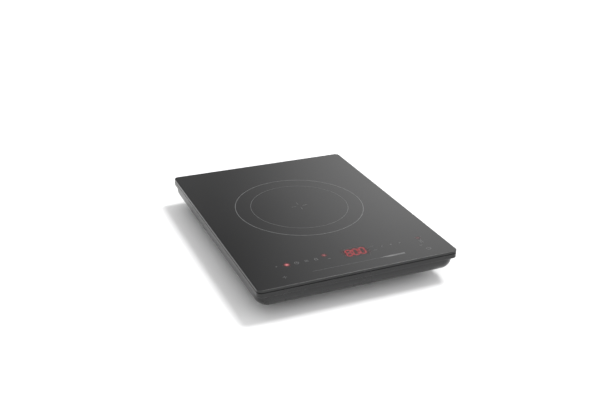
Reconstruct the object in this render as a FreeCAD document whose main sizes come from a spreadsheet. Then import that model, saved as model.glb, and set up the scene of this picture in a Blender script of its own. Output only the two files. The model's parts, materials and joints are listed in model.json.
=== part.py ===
import FreeCAD, Part
import Sketcher
import math
import os
import re

# Portable induction cooktop. Millimetres, +Z up, origin on the floor under the plate's centre,
# the user's side at -Y. Every driving size is a cell of the sheet "sizes".

SIZES = {
    # outer shells
    "plate_width": (280.0, "glass plate, left to right"),
    "plate_depth": (362.0, "glass plate, front to back"),
    "plate_corner": (7.0, "plan radius of the plate's corners"),
    "glass_thickness": (4.0, "ceramic glass"),
    "glass_bevel": (0.9, "ground edge of the glass"),
    "seal_thickness": (0.4, "silicone bead between glass and frame"),
    "seal_width": (6.0, "width of the silicone bead"),
    "seal_inset": (0.8, "bead back from the glass edge"),
    "frame_height": (6.5, "flange of the top frame"),
    "frame_rim": (12.0, "width of the flange's web"),
    "frame_round": (1.2, "rounding of the flange's lower edge"),
    "lip_height": (3.0, "lip of the frame inside the case"),
    "lip_thickness": (2.0, "wall of that lip"),
    "lip_gap": (0.2, "clearance of the lip in the case"),
    "case_inset": (1.0, "case wall back from the plate edge"),
    "case_depth": (18.6, "height of the case's wall"),
    "case_corner": (18.0, "plan radius of the case's corners"),
    "case_bowl": (16.0, "radius of the case's curved sides"),
    "wall": (2.5, "wall of the case"),
    # feet
    "foot_height": (10.0, "rubber foot"),
    "foot_radius": (12.0, "rubber foot at its top"),
    "foot_taper": (1.5, "rubber foot narrower at the floor"),
    "foot_boss_height": (5.0, "moulded boss above each foot"),
    "foot_boss_rim": (1.5, "boss wider than the foot"),
    "foot_side": (35.0, "foot centre from the plate's side edge"),
    "foot_end": (50.0, "foot centre from the front or back edge"),
    "foot_recess": (5.0, "radius of the recess for the screw head"),
    "foot_recess_depth": (5.0, "depth of that recess"),
    # screws
    "screw_radius": (1.5, "shank of every screw"),
    "screw_head": (2.8, "radius of a screw head"),
    "screw_head_height": (1.8, "height of a screw head"),
    "screw_gap": (0.05, "radial clearance of a shank in its pilot hole"),
    "screw_pass": (0.2, "radial clearance of a shank in a passing hole"),
    "board_screw_length": (6.4, "shank of the board and clamp screws"),
    "foot_screw_length": (9.0, "shank of a foot screw"),
    "case_screw_length": (12.0, "shank of a case screw"),
    # bosses that join frame and case
    "boss_radius": (4.0, "screw boss"),
    "boss_inset": (11.5, "boss centre from the plate edge"),
    "boss_side": (28.0, "end bosses from the plate's side edge"),
    "boss_middle": (-10.0, "y of the two side bosses"),
    "boss_split": (9.0, "boss joint above the case bottom"),
    "head_pocket": (3.3, "radius of the pocket for a case screw head"),
    "head_depth": (5.0, "that pocket's depth above the case bottom"),
    # cooling openings
    "slot_width": (3.0, "cooling slot"),
    "slot_pitch": (6.0, "spacing of the cooling slots"),
    "outlet_centre": (-18.0, "x of the middle outlet slot"),
    "outlet_low": (5.0, "outlet slots start above the case bottom"),
    "outlet_high": (15.0, "outlet slots end above the case bottom"),
    # cord recess and gland
    "recess_x": (-71.0, "middle of the cord recess"),
    "recess_width": (34.0, "width of the cord recess"),
    "recess_depth": (14.0, "depth of the cord recess"),
    "gland_floor_gap": (0.2, "gland's clip above the case floor"),
    "gland_bore": (3.6, "radius of the gland's bore"),
    "gland_body": (6.0, "radius where it passes the wall"),
    "gland_flange": (7.5, "radius of its flange and clip"),
    "gland_flange_length": (2.0, "thickness of the flange"),
    "gland_clip_length": (3.0, "thickness of the inner clip"),
    "gland_tail": (11.0, "length of the tapered tail"),
    "gland_tail_end": (4.6, "radius at the tail's end"),
    "gland_gap": (0.1, "clearance of the gland in its hole"),
    # coil stack, under the glass
    "coil_y": (18.0, "cooking zone centre behind the plate's centre"),
    "coil_inner": (21.0, "inner radius of the winding"),
    "coil_pitch": (3.8, "radial pitch of the winding"),
    "coil_wire": (3.2, "width of the litz wire"),
    "coil_height": (3.2, "height of the litz wire"),
    "coil_gap": (0.4, "winding to mica"),
    "coil_rim_gap": (3.0, "winding inside the carrier's outer ring"),
    "mica_thickness": (0.5, "mica sheet"),
    "mica_hole": (12.0, "hole of the mica sheet"),
    "carrier_radius": (85.0, "coil carrier"),
    "carrier_rim": (6.0, "width of its outer ring"),
    "carrier_thickness": (2.2, "carrier plate"),
    "hub_radius": (18.0, "outer radius of the carrier's hub ring"),
    "hub_hole": (12.0, "hole of the hub ring"),
    "spoke_width": (20.0, "spokes of the carrier"),
    "ear_radius": (5.0, "screw ear"),
    "ferrite_width": (13.0, "ferrite bar"),
    "ferrite_height": (4.5, "ferrite bar"),
    "ferrite_hub_gap": (5.0, "bar outside the hub ring"),
    "ferrite_rim_gap": (4.0, "bar inside the outer ring"),
    "bush_height": (5.0, "silicone bush under an ear"),
    "sensor_radius": (3.0, "temperature sensor"),
    "sensor_length": (5.0, "temperature sensor"),
    "sensor_fit": (0.3, "holder in the hub hole"),
    "sensor_flange": (2.0, "flange of the holder, under the hub"),
    # power board and what is on it
    "power_side": (14.0, "board edge from the plate's side edge"),
    "power_front": (21.0, "board's front edge from the plate's"),
    "power_depth": (80.0, "board, front to back"),
    "board_thickness": (1.6, "both boards"),
    "standoff_height": (4.0, "board above the case floor"),
    "standoff_radius": (3.5, "posts under the boards"),
    "standoff_inset": (6.0, "board hole from the board's edge"),
    "part_back": (3.0, "tall parts from the board's back edge"),
    "part_height": (15.0, "tall parts above the board"),
    "sink_length": (84.0, "heatsink, left to right"),
    "sink_depth": (29.0, "heatsink, front to back"),
    "sink_base": (3.0, "heatsink's base plate"),
    "sink_fin": (1.4, "heatsink fin"),
    "sink_fin_pitch": (4.2, "spacing of the fins"),
    "sink_side": (16.0, "heatsink from the board's right edge"),
    "chip_height": (4.9, "IGBT and rectifier"),
    "choke_radius": (12.5, "choke core"),
    "choke_hole": (7.5, "hole of the core"),
    "choke_height": (7.0, "choke core"),
    "choke_wire": (0.7, "radius of the choke's wire"),
    "lead_radius": (1.5, "coil lead"),
    "terminal_size": (6.0, "brass terminal for a coil lead"),
    # fan
    "fan_size": (70.0, "square fan frame"),
    "fan_height": (15.0, "fan frame"),
    "fan_corner": (4.0, "corner radius of the frame"),
    "fan_rim": (2.0, "frame wall beside its opening"),
    "fan_side": (41.0, "fan frame from the plate's right edge"),
    "fan_rim_gap": (1.0, "fan frame from the top frame's rim"),
    "fan_lift": (2.5, "fan above the case floor"),
    "fan_hole_inset": (4.0, "screw holes from the frame's edge"),
    "fan_hub": (15.5, "radius of the rotor's cup"),
    "fan_cup": (1.2, "wall of the cup"),
    "fan_base": (2.5, "height of the struts and motor plate"),
    "fan_strut": (3.0, "width of a strut"),
    "fan_tip_gap": (1.4, "blade tip to the frame"),
    "fan_blade": (1.4, "blade thickness"),
    "fan_clear": (0.7, "rotor above the struts"),
    "fan_magnet_wall": (2.4, "magnet ring"),
    "fan_air_gap": (1.0, "magnet to stator"),
    "bearing_radius": (3.0, "sleeve bearing"),
    "bearing_tube": (4.2, "tube that holds the bearing"),
    "shaft_radius": (1.5, "rotor shaft"),
    "shaft_gap": (0.03, "running clearance of the shaft"),
    "guide_gap": (7.0, "air guide outside the carrier"),
    "guide_wall": (1.5, "air guide"),
    "guide_height": (20.0, "air guide"),
    # controls
    "control_side": (22.0, "control board from the side edges"),
    "control_front": (17.0, "control board from the front edge"),
    "control_depth": (44.0, "control board, front to back"),
    "key_gap": (6.0, "control board to glass"),
    "lug_size": (8.0, "width of the frame's lugs that hold the board"),
    "lug_inset": (4.0, "screw of a lug from the board's edge or the beam"),
    "lug_x": (84.0, "lugs left and right of the middle"),
    "beam_width": (6.0, "cross beam of the frame"),
    "beam_height": (4.0, "cross beam of the frame"),
    "beam_front": (61.0, "cross beam's front face from the front edge"),
    "key_back_row": (47.0, "back row of keys from the front edge"),
    "key_front_row": (20.0, "front keys from the front edge"),
    "key_left_x": (-97.0, "left front key"),
    "key_right_x": (106.0, "power key"),
    "spring_radius": (3.5, "touch spring"),
    "spring_wall": (0.6, "touch spring"),
    "display_x": (10.5, "display centre"),
    "display_length": (40.0, "display"),
    "display_width": (17.0, "display"),
    "led_radius": (1.5, "indicator light"),
    "ribbon_width": (20.0, "flat cable"),
    "ribbon_thickness": (1.0, "flat cable"),
    "clamp_post_spread": (10.0, "clamp posts from the cord's axis"),
    "clamp_y": (33.0, "clamp from the plate's back edge"),
    "clamp_thickness": (3.5, "clamp bar"),
    "cord_room": (7.2, "room under the clamp bar for the cord"),
    "clamp_lift": (2.0, "cord above the case floor"),
    "clamp_end": (5.0, "clamp bar beyond its screws"),
    "clamp_width": (8.0, "clamp bar"),
    # allowances
    "join_overlap": (1.0, "how far joined pieces run into each other"),
    "tool_over": (1.0, "how far a cutting tool runs past a face"),
    "outlet_over": (2.0, "outlet tools past the curved wall"),
    "pilot_over": (0.2, "pilot hole deeper than its screw"),
    "foot_pilot_over": (0.5, "pilot hole deeper than a foot screw"),
    "pilot_skin": (1.0, "case left under a fan pilot hole"),
    "coil_pilot_depth": (8.0, "pilot hole of a coil screw"),
    "coil_screw_grip": (6.0, "coil screw in its post"),
    "clamp_pilot_depth": (5.0, "pilot hole of a clamp screw"),
    "beam_seat": (2.0, "beam into the frame's rim"),
    "boss_skirt": (1.0, "case boss wider than the frame boss"),
    "ear_step": (0.5, "bush and post narrower than the ear"),
    "spoke_seat": (2.0, "spoke into the two rings"),
    "intake_margin": (3.0, "intake slots inside the fan's mouth"),
    "mica_inset": (1.0, "mica inside the carrier's edge"),
    "holder_lip": (2.0, "holder's flange wider than the hub hole"),
    "holder_gap": (0.5, "holder below the glass"),
    # parts of the power board; places are from its left and back edges
    "igbt_length": (16.0, "IGBT, left to right"),
    "igbt_depth": (21.0, "IGBT, front to back"),
    "rectifier_length": (30.0, "rectifier, left to right"),
    "rectifier_depth": (20.0, "rectifier, front to back"),
    "chip_pilot": (4.0, "screw hole in a power chip"),
    "chip_grip": (3.5, "screw in a power chip"),
    "inlet_size": (18.0, "mains terminal block"),
    "inlet_height": (11.0, "mains terminal block"),
    "inlet_left": (22.0, "mains terminal block"),
    "inlet_back": (6.0, "mains terminal block"),
    "part_gap": (2.0, "between two tall parts"),
    "mains_cap_length": (26.0, "mains capacitor"),
    "mains_cap_depth": (12.0, "mains capacitor"),
    "mains_cap_left": (50.0, "mains capacitor"),
    "filter_length": (30.0, "filter and resonant capacitors"),
    "filter_depth": (14.0, "filter capacitor"),
    "filter_left": (116.0, "filter and resonant capacitors"),
    "resonant_depth": (13.0, "resonant capacitor"),
    "fuse_radius": (2.6, "fuse barrel"),
    "fuse_length": (20.0, "fuse barrel"),
    "fuse_left": (40.0, "fuse barrel"),
    "fuse_back": (24.0, "fuse axis"),
    "fuse_lift": (4.0, "fuse axis above the board"),
    "clip_length": (4.0, "fuse clip"),
    "clip_depth": (6.4, "fuse clip"),
    "clip_height": (4.5, "fuse clip"),
    "clip_inset": (3.0, "clip centre from the fuse's end"),
    "small_height": (7.0, "buzzer and supply capacitor"),
    "small_back": (66.0, "buzzer and supply capacitor"),
    "supply_radius": (4.0, "supply capacitor"),
    "supply_x": (8.0, "x of the supply capacitor"),
    "buzzer_radius": (6.0, "buzzer"),
    "buzzer_x": (-40.0, "x of the buzzer"),
    "choke_left": (82.0, "choke centre"),
    "choke_back": (2.0, "choke behind the row of tall parts"),
    "choke_lift": (2.5, "choke above the board"),
    "choke_wire_gap": (0.1, "choke wire off its core"),
    "terminal_back": (5.0, "coil terminals"),
    "terminal_near": (10.0, "x of the outer lead's terminal"),
    "terminal_far": (20.0, "x of the inner lead's terminal"),
    # details of the fan
    "fan_plate_inset": (1.0, "motor plate smaller than the hub"),
    "fan_tube_drop": (4.0, "bearing tube below the frame's top"),
    "strut_seat": (3.0, "strut into the motor plate"),
    "bearing_floor": (1.0, "plate left under the bearing"),
    "bearing_recess": (0.5, "bearing below its tube's top"),
    "shaft_floor": (1.5, "shaft above the frame's bottom"),
    "rotor_recess": (1.0, "rotor below the frame's top"),
    "cup_top": (1.5, "top of the rotor's cup"),
    "blade_margin": (0.3, "blades inside the cup's two ends"),
    "blade_start": (2.0, "blade plates begin below the rotor"),
    "magnet_lift": (0.6, "magnet above the cup's rim"),
    "magnet_drop": (2.5, "magnet shorter than the rotor"),
    "stator_drop": (4.0, "stator shorter than the rotor"),
    "fan_screw_skin": (2.0, "case left under a fan screw"),
    "guide_span": (1.4, "air guide's reach, per carrier radius"),
    "guide_shift": (1.2, "air guide's place, per carrier radius"),
    # details of the controls
    "display_gap": (0.3, "display to glass"),
    "led_gap": (0.5, "indicator light to glass"),
    "led_collar": (0.5, "collar wider than its light"),
    "led_collar_height": (1.0, "collar"),
    "ribbon_inset": (14.0, "flat cable behind the power board's front"),
    "ribbon_x": (-80.0, "left end of the flat cable's width"),
    "lead_start": (1.0, "outer lead inside the winding's edge"),
    "lead_gap": (1.5, "coil leads below the ferrites"),
}

# Levels and places worked out from the sizes. Each name may be used in any formula below.
DERIVED = {
    "case_z": "foot_height + foot_boss_height",
    "floor_z": "case_z + wall",
    "rim_z": "case_z + case_depth",
    "frame_top_z": "rim_z + frame_height",
    "glass_z": "frame_top_z + seal_thickness",
    "case_width": "plate_width - 2 * case_inset",
    "case_length": "plate_depth - 2 * case_inset",
    "inner_width": "case_width - 2 * wall - 2 * lip_gap",
    "inner_length": "case_length - 2 * wall - 2 * lip_gap",
    "inner_corner": "case_corner - wall - lip_gap",
    "front_y": "0 - plate_depth / 2",
    "back_y": "plate_depth / 2",
    "split_z": "case_z + boss_split",
    "mica_z": "glass_z - mica_thickness",
    "coil_z": "mica_z - coil_gap - coil_height",
    "carrier_z": "coil_z - carrier_thickness",
    "ferrite_z": "carrier_z - ferrite_height",
    "bush_z": "carrier_z - bush_height",
    "power_z": "floor_z + standoff_height",
    "power_top": "power_z + board_thickness",
    "power_width": "plate_width - 2 * power_side",
    "power_y": "front_y + power_front + power_depth / 2",
    "power_back": "front_y + power_front + power_depth",
    "sink_x": "power_width / 2 - sink_side - sink_length / 2",
    "sink_y": "power_back - part_back - sink_depth / 2",
    "sink_z": "power_top + chip_height",
    "ferrite_length": "carrier_radius - carrier_rim - ferrite_rim_gap - hub_radius - ferrite_hub_gap",
    "fan_mouth": "fan_size / 2 - fan_rim",
    "fan_x": "plate_width / 2 - fan_side - fan_size / 2",
    "fan_y": "back_y - frame_rim - fan_rim_gap - fan_size / 2",
    "rotor_height": "fan_height - fan_base - fan_clear - rotor_recess",
    "fan_z": "floor_z + fan_lift",
    "fan_hole": "fan_size / 2 - fan_hole_inset",
    "rotor_z": "fan_z + fan_base + fan_clear",
    "control_z": "glass_z - key_gap - board_thickness",
    "control_top": "glass_z - key_gap",
    "control_width": "plate_width - 2 * control_side",
    "control_y": "front_y + control_front + control_depth / 2",
    "beam_y": "front_y + beam_front + beam_width / 2",
    "gland_z": "floor_z + gland_floor_gap + gland_flange",
    "recess_wall_y": "plate_depth / 2 - case_inset - recess_depth",
    "clamp_z": "floor_z + clamp_lift + cord_room",
}

FOOT_NAMES = {(-1, -1): "foot_front_left", (1, -1): "foot_front_right",
              (-1, 1): "foot_back_left", (1, 1): "foot_back_right"}
CORNERS = list(FOOT_NAMES)
INTAKE_SLOTS = range(-4, 5)
OUTLET_SLOTS = range(-5, 6)
FERRITE_COUNT = 6
EAR_ANGLES = (30, 150, 270)
LEAST_CUT = 100.0  # cubic millimetres; the cord recess takes away far more
BLADE_COUNT = 7
BLADE_TILT = 38
STRUT_COUNT = 4
STRUT_START = 45
CHOKE_TURNS = 12
FIN_SIDES = (1, 2, 3)
BACK_ROW_KEYS = (-97, -70, -56, -43, 52, 65, 79)
LIGHT_PLACES = ((-83.5, 47.0), (-29.5, 52.4), (108.0, 50.0))  # x, and from the plate's front edge

doc = FreeCAD.newDocument("induction_cooktop")
sheet = doc.addObject("Spreadsheet::Sheet", "sizes")
for row, (alias, (number, note)) in enumerate(SIZES.items(), start=1):
    sheet.set(f"A{row}", note)
    sheet.set(f"B{row}", str(number))
    sheet.setAlias(f"B{row}", alias)
doc.recompute()


# ---------------------------------------------------------------- helpers

def link(formula):
    """Turn a formula of size names into an expression on the sheet's cells."""
    def expand(match):
        word = match.group(0)
        if word in DERIVED:
            return "(" + link(DERIVED[word]) + ")"
        if word in SIZES:
            return "sizes." + word
        return word
    return re.sub(r"[a-z_]+", expand, str(formula))


def size(alias):
    """One driving size as a number, for shapes made in code."""
    return float(sheet.get(alias))


def bind(item, **formulas):
    for prop, formula in formulas.items():
        item.setExpression(prop, link(formula))
    return item


def place(item, x, y, z):
    for axis, formula in zip("xyz", (x, y, z)):
        item.setExpression("Placement.Base." + axis, link(formula))
    return item


def box(name, length, width, height, x, y, z):
    """A block centred on x and y, standing on z."""
    item = doc.addObject("Part::Box", name)
    bind(item, Length=length, Width=width, Height=height)
    return place(item, f"({x}) - ({length}) / 2", f"({y}) - ({width}) / 2", z)


def cylinder(name, radius, height, x, y, z):
    """An upright cylinder standing on z."""
    item = doc.addObject("Part::Cylinder", name)
    bind(item, Radius=radius, Height=height)
    return place(item, x, y, z)


def cylinder_along_y(name, radius, length, x, y, z):
    """A cylinder whose axis runs from y towards +Y."""
    item = doc.addObject("Part::Cylinder", name)
    bind(item, Radius=radius, Height=length)
    item.Placement = FreeCAD.Placement(FreeCAD.Vector(), FreeCAD.Rotation(FreeCAD.Vector(1, 0, 0), -90))
    return place(item, x, y, z)


def join(name, items):
    item = doc.addObject("Part::MultiFuse", name)
    item.Shapes = items
    return item


def group(name, items):
    """Separate solids kept together in one sub-part."""
    item = doc.addObject("Part::Compound", name)
    item.Links = items
    return item


def cut(name, base, tools):
    item = doc.addObject("Part::Cut", name)
    item.Base = base
    item.Tool = tools[0] if len(tools) == 1 else join(name + "_tool", tools)
    return item


def overlap(name, first, second):
    item = doc.addObject("Part::Common", name)
    item.Base = first
    item.Tool = second
    return item


def ring(name, outer, inner, height, x, y, z):
    return cut(name, cylinder(name + "_outer", outer, height, x, y, z),
               [cylinder(name + "_hole", inner, height, x, y, z)])


def screw(name, length, x, y, seat_z, head_up):
    """A pan-head screw: seat_z is the face that its head presses on."""
    shank_z = f"({seat_z}) - ({length})" if head_up else seat_z
    head_z = seat_z if head_up else f"({seat_z}) - screw_head_height"
    return join(name, [cylinder(name + "_shank", "screw_radius", length, x, y, shank_z),
                       cylinder(name + "_head", "screw_head", "screw_head_height", x, y, head_z)])


def new_body(name):
    return doc.addObject("PartDesign::Body", name)


def plane_of(body, role):
    return next(item for item in body.Origin.OriginFeatures if item.Role == role)


def new_sketch(body, name, level):
    sketch = body.newObject("Sketcher::SketchObject", name)
    sketch.AttachmentSupport = [(plane_of(body, "XY_Plane"), "")]
    sketch.MapMode = "FlatFace"
    sketch.setExpression("AttachmentOffset.Base.z", link(level))
    return sketch


def draw_rounded_rectangle(sketch, width, depth, corner):
    """Four lines and four tangent arcs, centred on the sketch's origin and driven by three sizes."""
    half_w, half_d, radius = 50.0, 40.0, 5.0  # only to start with; the constraints set the real ones
    ends = [((radius - half_w, -half_d), (half_w - radius, -half_d)),
            ((half_w, radius - half_d), (half_w, half_d - radius)),
            ((half_w - radius, half_d), (radius - half_w, half_d)),
            ((-half_w, half_d - radius), (-half_w, radius - half_d))]
    for start, end in ends:
        sketch.addGeometry(Part.LineSegment(FreeCAD.Vector(*start, 0), FreeCAD.Vector(*end, 0)))
    centres = [(half_w - radius, radius - half_d), (half_w - radius, half_d - radius),
               (radius - half_w, half_d - radius), (radius - half_w, radius - half_d)]
    for turn, centre in enumerate(centres):
        start = math.radians(90 * turn - 90)
        circle = Part.Circle(FreeCAD.Vector(*centre, 0), FreeCAD.Vector(0, 0, 1), radius)
        sketch.addGeometry(Part.ArcOfCircle(circle, start, start + math.pi / 2))
    add = sketch.addConstraint
    for side in range(4):
        arc = 4 + side
        add(Sketcher.Constraint("Tangent", side, 2, arc, 1))
        add(Sketcher.Constraint("Tangent", arc, 2, (side + 1) % 4, 1))
        add(Sketcher.Constraint("Horizontal" if side % 2 == 0 else "Vertical", side))
    for arc in (5, 6, 7):
        add(Sketcher.Constraint("Equal", 4, arc))
    add(Sketcher.Constraint("Symmetric", 4, 3, 6, 3, -1, 1))
    drivers = [("corner", Sketcher.Constraint("Radius", 4, radius), corner),
               ("width", Sketcher.Constraint("DistanceX", 3, 1, 1, 1, 2 * half_w), width),
               ("depth", Sketcher.Constraint("DistanceY", 0, 1, 2, 1, 2 * half_d), depth)]
    for name, constraint, formula in drivers:
        sketch.renameConstraint(add(constraint), name)
        sketch.setExpression("Constraints." + name, link(formula))


def pad_rounded(body, name, width, depth, corner, level, height):
    sketch = new_sketch(body, name + "_sketch", level)
    draw_rounded_rectangle(sketch, width, depth, corner)
    pad = body.newObject("PartDesign::Pad", name)
    pad.Profile = sketch
    bind(pad, Length=height)
    return pad


def pocket_rounded(body, name, width, depth, corner, level, height):
    """A pocket that rises from level."""
    sketch = new_sketch(body, name + "_sketch", level)
    draw_rounded_rectangle(sketch, width, depth, corner)
    pocket = body.newObject("PartDesign::Pocket", name)
    pocket.Profile = sketch
    pocket.Reversed = True
    bind(pocket, Length=height)
    return pocket


def edges_at(feature, level):
    """Names of the feature's edges that lie in the plane z = level."""
    found = []
    for number, edge in enumerate(feature.Shape.Edges, start=1):
        limits = edge.BoundBox
        if abs(limits.ZMin - level) < 1e-4 and abs(limits.ZMax - level) < 1e-4:
            found.append(f"Edge{number}")
    return found


def round_edges(body, name, kind, base, level, radius):
    doc.recompute()
    feature = body.newObject("PartDesign::" + kind, name)
    feature.Base = (base, edges_at(base, level))
    bind(feature, **{"Size" if kind == "Chamfer" else "Radius": radius})
    return feature


# ---------------------------------------------------------------- glass, seal and frame

def make_glass():
    """Ceramic plate with ground upper and lower edges."""
    body = new_body("glass_top")
    plate = pad_rounded(body, "glass_plate", "plate_width", "plate_depth", "plate_corner",
                        "glass_z", "glass_thickness")
    doc.recompute()
    top = plate.Shape.BoundBox.ZMax
    round_edges(body, "glass_bevel_top", "Chamfer", plate, top, "glass_bevel")
    return body


def make_seal():
    """Silicone bead that glues the glass to the frame."""
    body = new_body("glass_seal")
    pad_rounded(body, "seal_outer", "plate_width - 2 * seal_inset", "plate_depth - 2 * seal_inset",
                "plate_corner - seal_inset", "frame_top_z", "seal_thickness")
    inset = "(seal_inset + seal_width)"
    pocket_rounded(body, "seal_inner", f"plate_width - 2 * {inset}", f"plate_depth - 2 * {inset}",
                   "plate_corner / 2", "frame_top_z", "seal_thickness")
    return body


def boss_places():
    """The six screw bosses that join frame and case, as pairs of formulas."""
    places = []
    for side in (-1, 1):
        for end in (-1, 1):
            places.append((f"{side} * (plate_width / 2 - boss_side)",
                           f"{end} * (plate_depth / 2 - boss_inset)"))
        places.append((f"{side} * (plate_width / 2 - boss_inset)", "boss_middle"))
    return places


def lug_places():
    """Four lugs for the control board: two on the front rim, two on the cross beam."""
    front = "front_y + control_front + lug_inset"
    back = "front_y + beam_front - lug_inset"
    return [(f"{side} * lug_x", y) for side in (-1, 1) for y in (front, back)]


def make_top_frame():
    """Flange under the glass, a lip inside the case, a cross beam, lugs and screw bosses."""
    body = new_body("frame_flange")
    web = pad_rounded(body, "frame_web", "plate_width", "plate_depth", "plate_corner",
                      "rim_z", "frame_height")
    doc.recompute()
    rounded = round_edges(body, "frame_edge", "Fillet", web, web.Shape.BoundBox.ZMin, "frame_round")
    doc.recompute()
    rounded_volume = rounded.Shape.Volume
    opening = pocket_rounded(body, "frame_opening", "plate_width - 2 * frame_rim",
                             "plate_depth - 2 * frame_rim", "plate_corner", "rim_z", "frame_height")
    doc.recompute()
    if opening.Shape.Volume > 0.6 * rounded_volume:
        raise RuntimeError("the frame's opening cut nothing")
    lip_body = new_body("frame_lip")
    pad_rounded(lip_body, "lip_outer", "inner_width", "inner_length", "inner_corner",
                "rim_z - lip_height", "lip_height + join_overlap")
    pocket_rounded(lip_body, "lip_inner", "inner_width - 2 * lip_thickness",
                   "inner_length - 2 * lip_thickness", "inner_corner - lip_thickness",
                   "rim_z - lip_height", "lip_height + join_overlap")
    recess = box("lip_gap_for_recess", "recess_width + 2 * wall + 2 * tool_over",
                 "recess_depth + wall + 2 * tool_over", "lip_height", "recess_x",
                 "back_y - case_inset - (recess_depth + wall + 2 * tool_over) / 2",
                 "rim_z - lip_height")
    lip = cut("frame_lip_open", lip_body, [recess])
    beam = box("frame_beam", "plate_width - 2 * frame_rim + 2 * beam_seat", "beam_width", "beam_height",
               "0", "beam_y", "frame_top_z - beam_height")
    pieces = [body, lip, beam]
    holes = []
    tall = "frame_top_z - control_top"
    # the front lugs reach into the rim, the back lugs into the beam
    front_reach = "(control_front + 2 * lug_inset - frame_rim + join_overlap)"
    back_reach = "(2 * lug_inset + join_overlap)"
    for side in (-1, 1):
        pieces.append(box(f"lug_front_{side + 2}", "lug_size", front_reach, tall, f"{side} * lug_x",
                          f"front_y + frame_rim - join_overlap + {front_reach} / 2", "control_top"))
        pieces.append(box(f"lug_back_{side + 2}", "lug_size", back_reach, tall, f"{side} * lug_x",
                          f"front_y + beam_front + join_overlap - {back_reach} / 2", "control_top"))
    for number, (x, y) in enumerate(lug_places(), start=1):
        holes.append(cylinder(f"lug_hole_{number}", "screw_radius + screw_gap",
                              "board_screw_length - board_thickness + pilot_over", x, y, "control_top"))
    for number, (x, y) in enumerate(boss_places(), start=1):
        pieces.append(cylinder(f"frame_boss_{number}", "boss_radius", "rim_z - split_z + join_overlap",
                               x, y, "split_z"))
        holes.append(cylinder(f"frame_pilot_{number}", "screw_radius + screw_gap",
                              "case_screw_length", x, y, "split_z"))
    return cut("top_frame", join("frame_solid", pieces), holes)


# ---------------------------------------------------------------- case and feet

def foot_place(side, end):
    return (f"{side} * (plate_width / 2 - foot_side)", f"{end} * (plate_depth / 2 - foot_end)")


def power_board_holes():
    """Four corner holes of the power board."""
    across = "power_width / 2 - standoff_inset"
    along = "power_depth / 2 - standoff_inset"
    return [(f"{side} * ({across})", f"power_y + {end} * ({along})") for side, end in CORNERS]


def fan_holes():
    return [(f"fan_x + {side} * (fan_hole)", f"fan_y + {end} * (fan_hole)") for side, end in CORNERS]


def ear_place(angle):
    """A carrier ear, on the middle line of the outer ring."""
    reach = "(carrier_radius - carrier_rim / 2)"
    return (f"{reach} * cos({angle})", f"coil_y + {reach} * sin({angle})")


def clamp_places():
    return [(f"recess_x + {side} * clamp_post_spread", "back_y - clamp_y") for side in (-1, 1)]


def make_case_shell():
    """Bowl-sided tub with the cord recess at the back, hollowed to one wall thickness."""
    body = new_body("case_shell")
    tub = pad_rounded(body, "case_tub", "case_width", "case_length", "case_corner",
                      "case_z", "case_depth")
    doc.recompute()
    bowl = round_edges(body, "case_bowl_sides", "Fillet", tub, tub.Shape.BoundBox.ZMin, "case_bowl")
    doc.recompute()
    full_volume = bowl.Shape.Volume
    notch_body = box("case_notch", "recess_width", "recess_depth + 2 * tool_over",
                     "case_depth + 2 * tool_over", "recess_x",
                     "back_y - case_inset - recess_depth / 2 + tool_over", "case_z - tool_over")
    notched = cut("case_notched", body, [notch_body])
    doc.recompute()
    if notched.Shape.Volume > full_volume - LEAST_CUT:
        raise RuntimeError("the cord recess cut nothing")
    cavity_body = new_body("case_cavity_body")
    cavity = pad_rounded(cavity_body, "case_cavity", "case_width - 2 * wall",
                         "case_length - 2 * wall", "case_corner - wall", "floor_z", "case_depth")
    doc.recompute()
    round_edges(cavity_body, "cavity_bowl", "Fillet", cavity, cavity.Shape.BoundBox.ZMin,
                "case_bowl - wall")
    around = box("case_notch_wall", "recess_width + 2 * wall",
                 "recess_depth + wall + 2 * tool_over", "case_depth + wall", "recess_x",
                 "back_y - case_inset - (recess_depth + wall) / 2 + tool_over", "case_z")
    hollow = cut("case_hollow", cavity_body, [around])
    return cut("case_open", notched, [hollow])


def case_posts(bowl):
    """Every boss and post on or under the case's floor; bowl trims those in its curved sides."""
    posts = []
    for number, (x, y) in enumerate(boss_places(), start=1):
        posts.append(overlap(f"case_boss_{number}",
                             cylinder(f"case_boss_{number}_full", "boss_radius + boss_skirt",
                                      "boss_split", x, y, "case_z"),
                             bowl))
    for (side, end), name in FOOT_NAMES.items():
        x, y = foot_place(side, end)
        posts.append(cylinder("boss_" + name, "foot_radius + foot_boss_rim",
                              "foot_boss_height + wall / 2", x, y, "foot_height"))
    for number, (x, y) in enumerate(power_board_holes(), start=1):
        posts.append(cylinder(f"power_post_{number}", "standoff_radius",
                              "standoff_height + wall / 2", x, y, "floor_z - wall / 2"))
    for number, (x, y) in enumerate(fan_holes(), start=1):
        posts.append(cylinder(f"fan_post_{number}", "standoff_radius", "fan_lift + wall / 2",
                              x, y, "floor_z - wall / 2"))
    for number, angle in enumerate(EAR_ANGLES, start=1):
        x, y = ear_place(angle)
        posts.append(cylinder(f"coil_post_{number}", "ear_radius - ear_step",
                              "bush_z - floor_z + wall / 2", x, y, "floor_z - wall / 2"))
    for number, (x, y) in enumerate(clamp_places(), start=1):
        posts.append(cylinder(f"clamp_post_{number}", "standoff_radius",
                              "clamp_z - floor_z + wall / 2", x, y, "floor_z - wall / 2"))
    return posts


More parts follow.
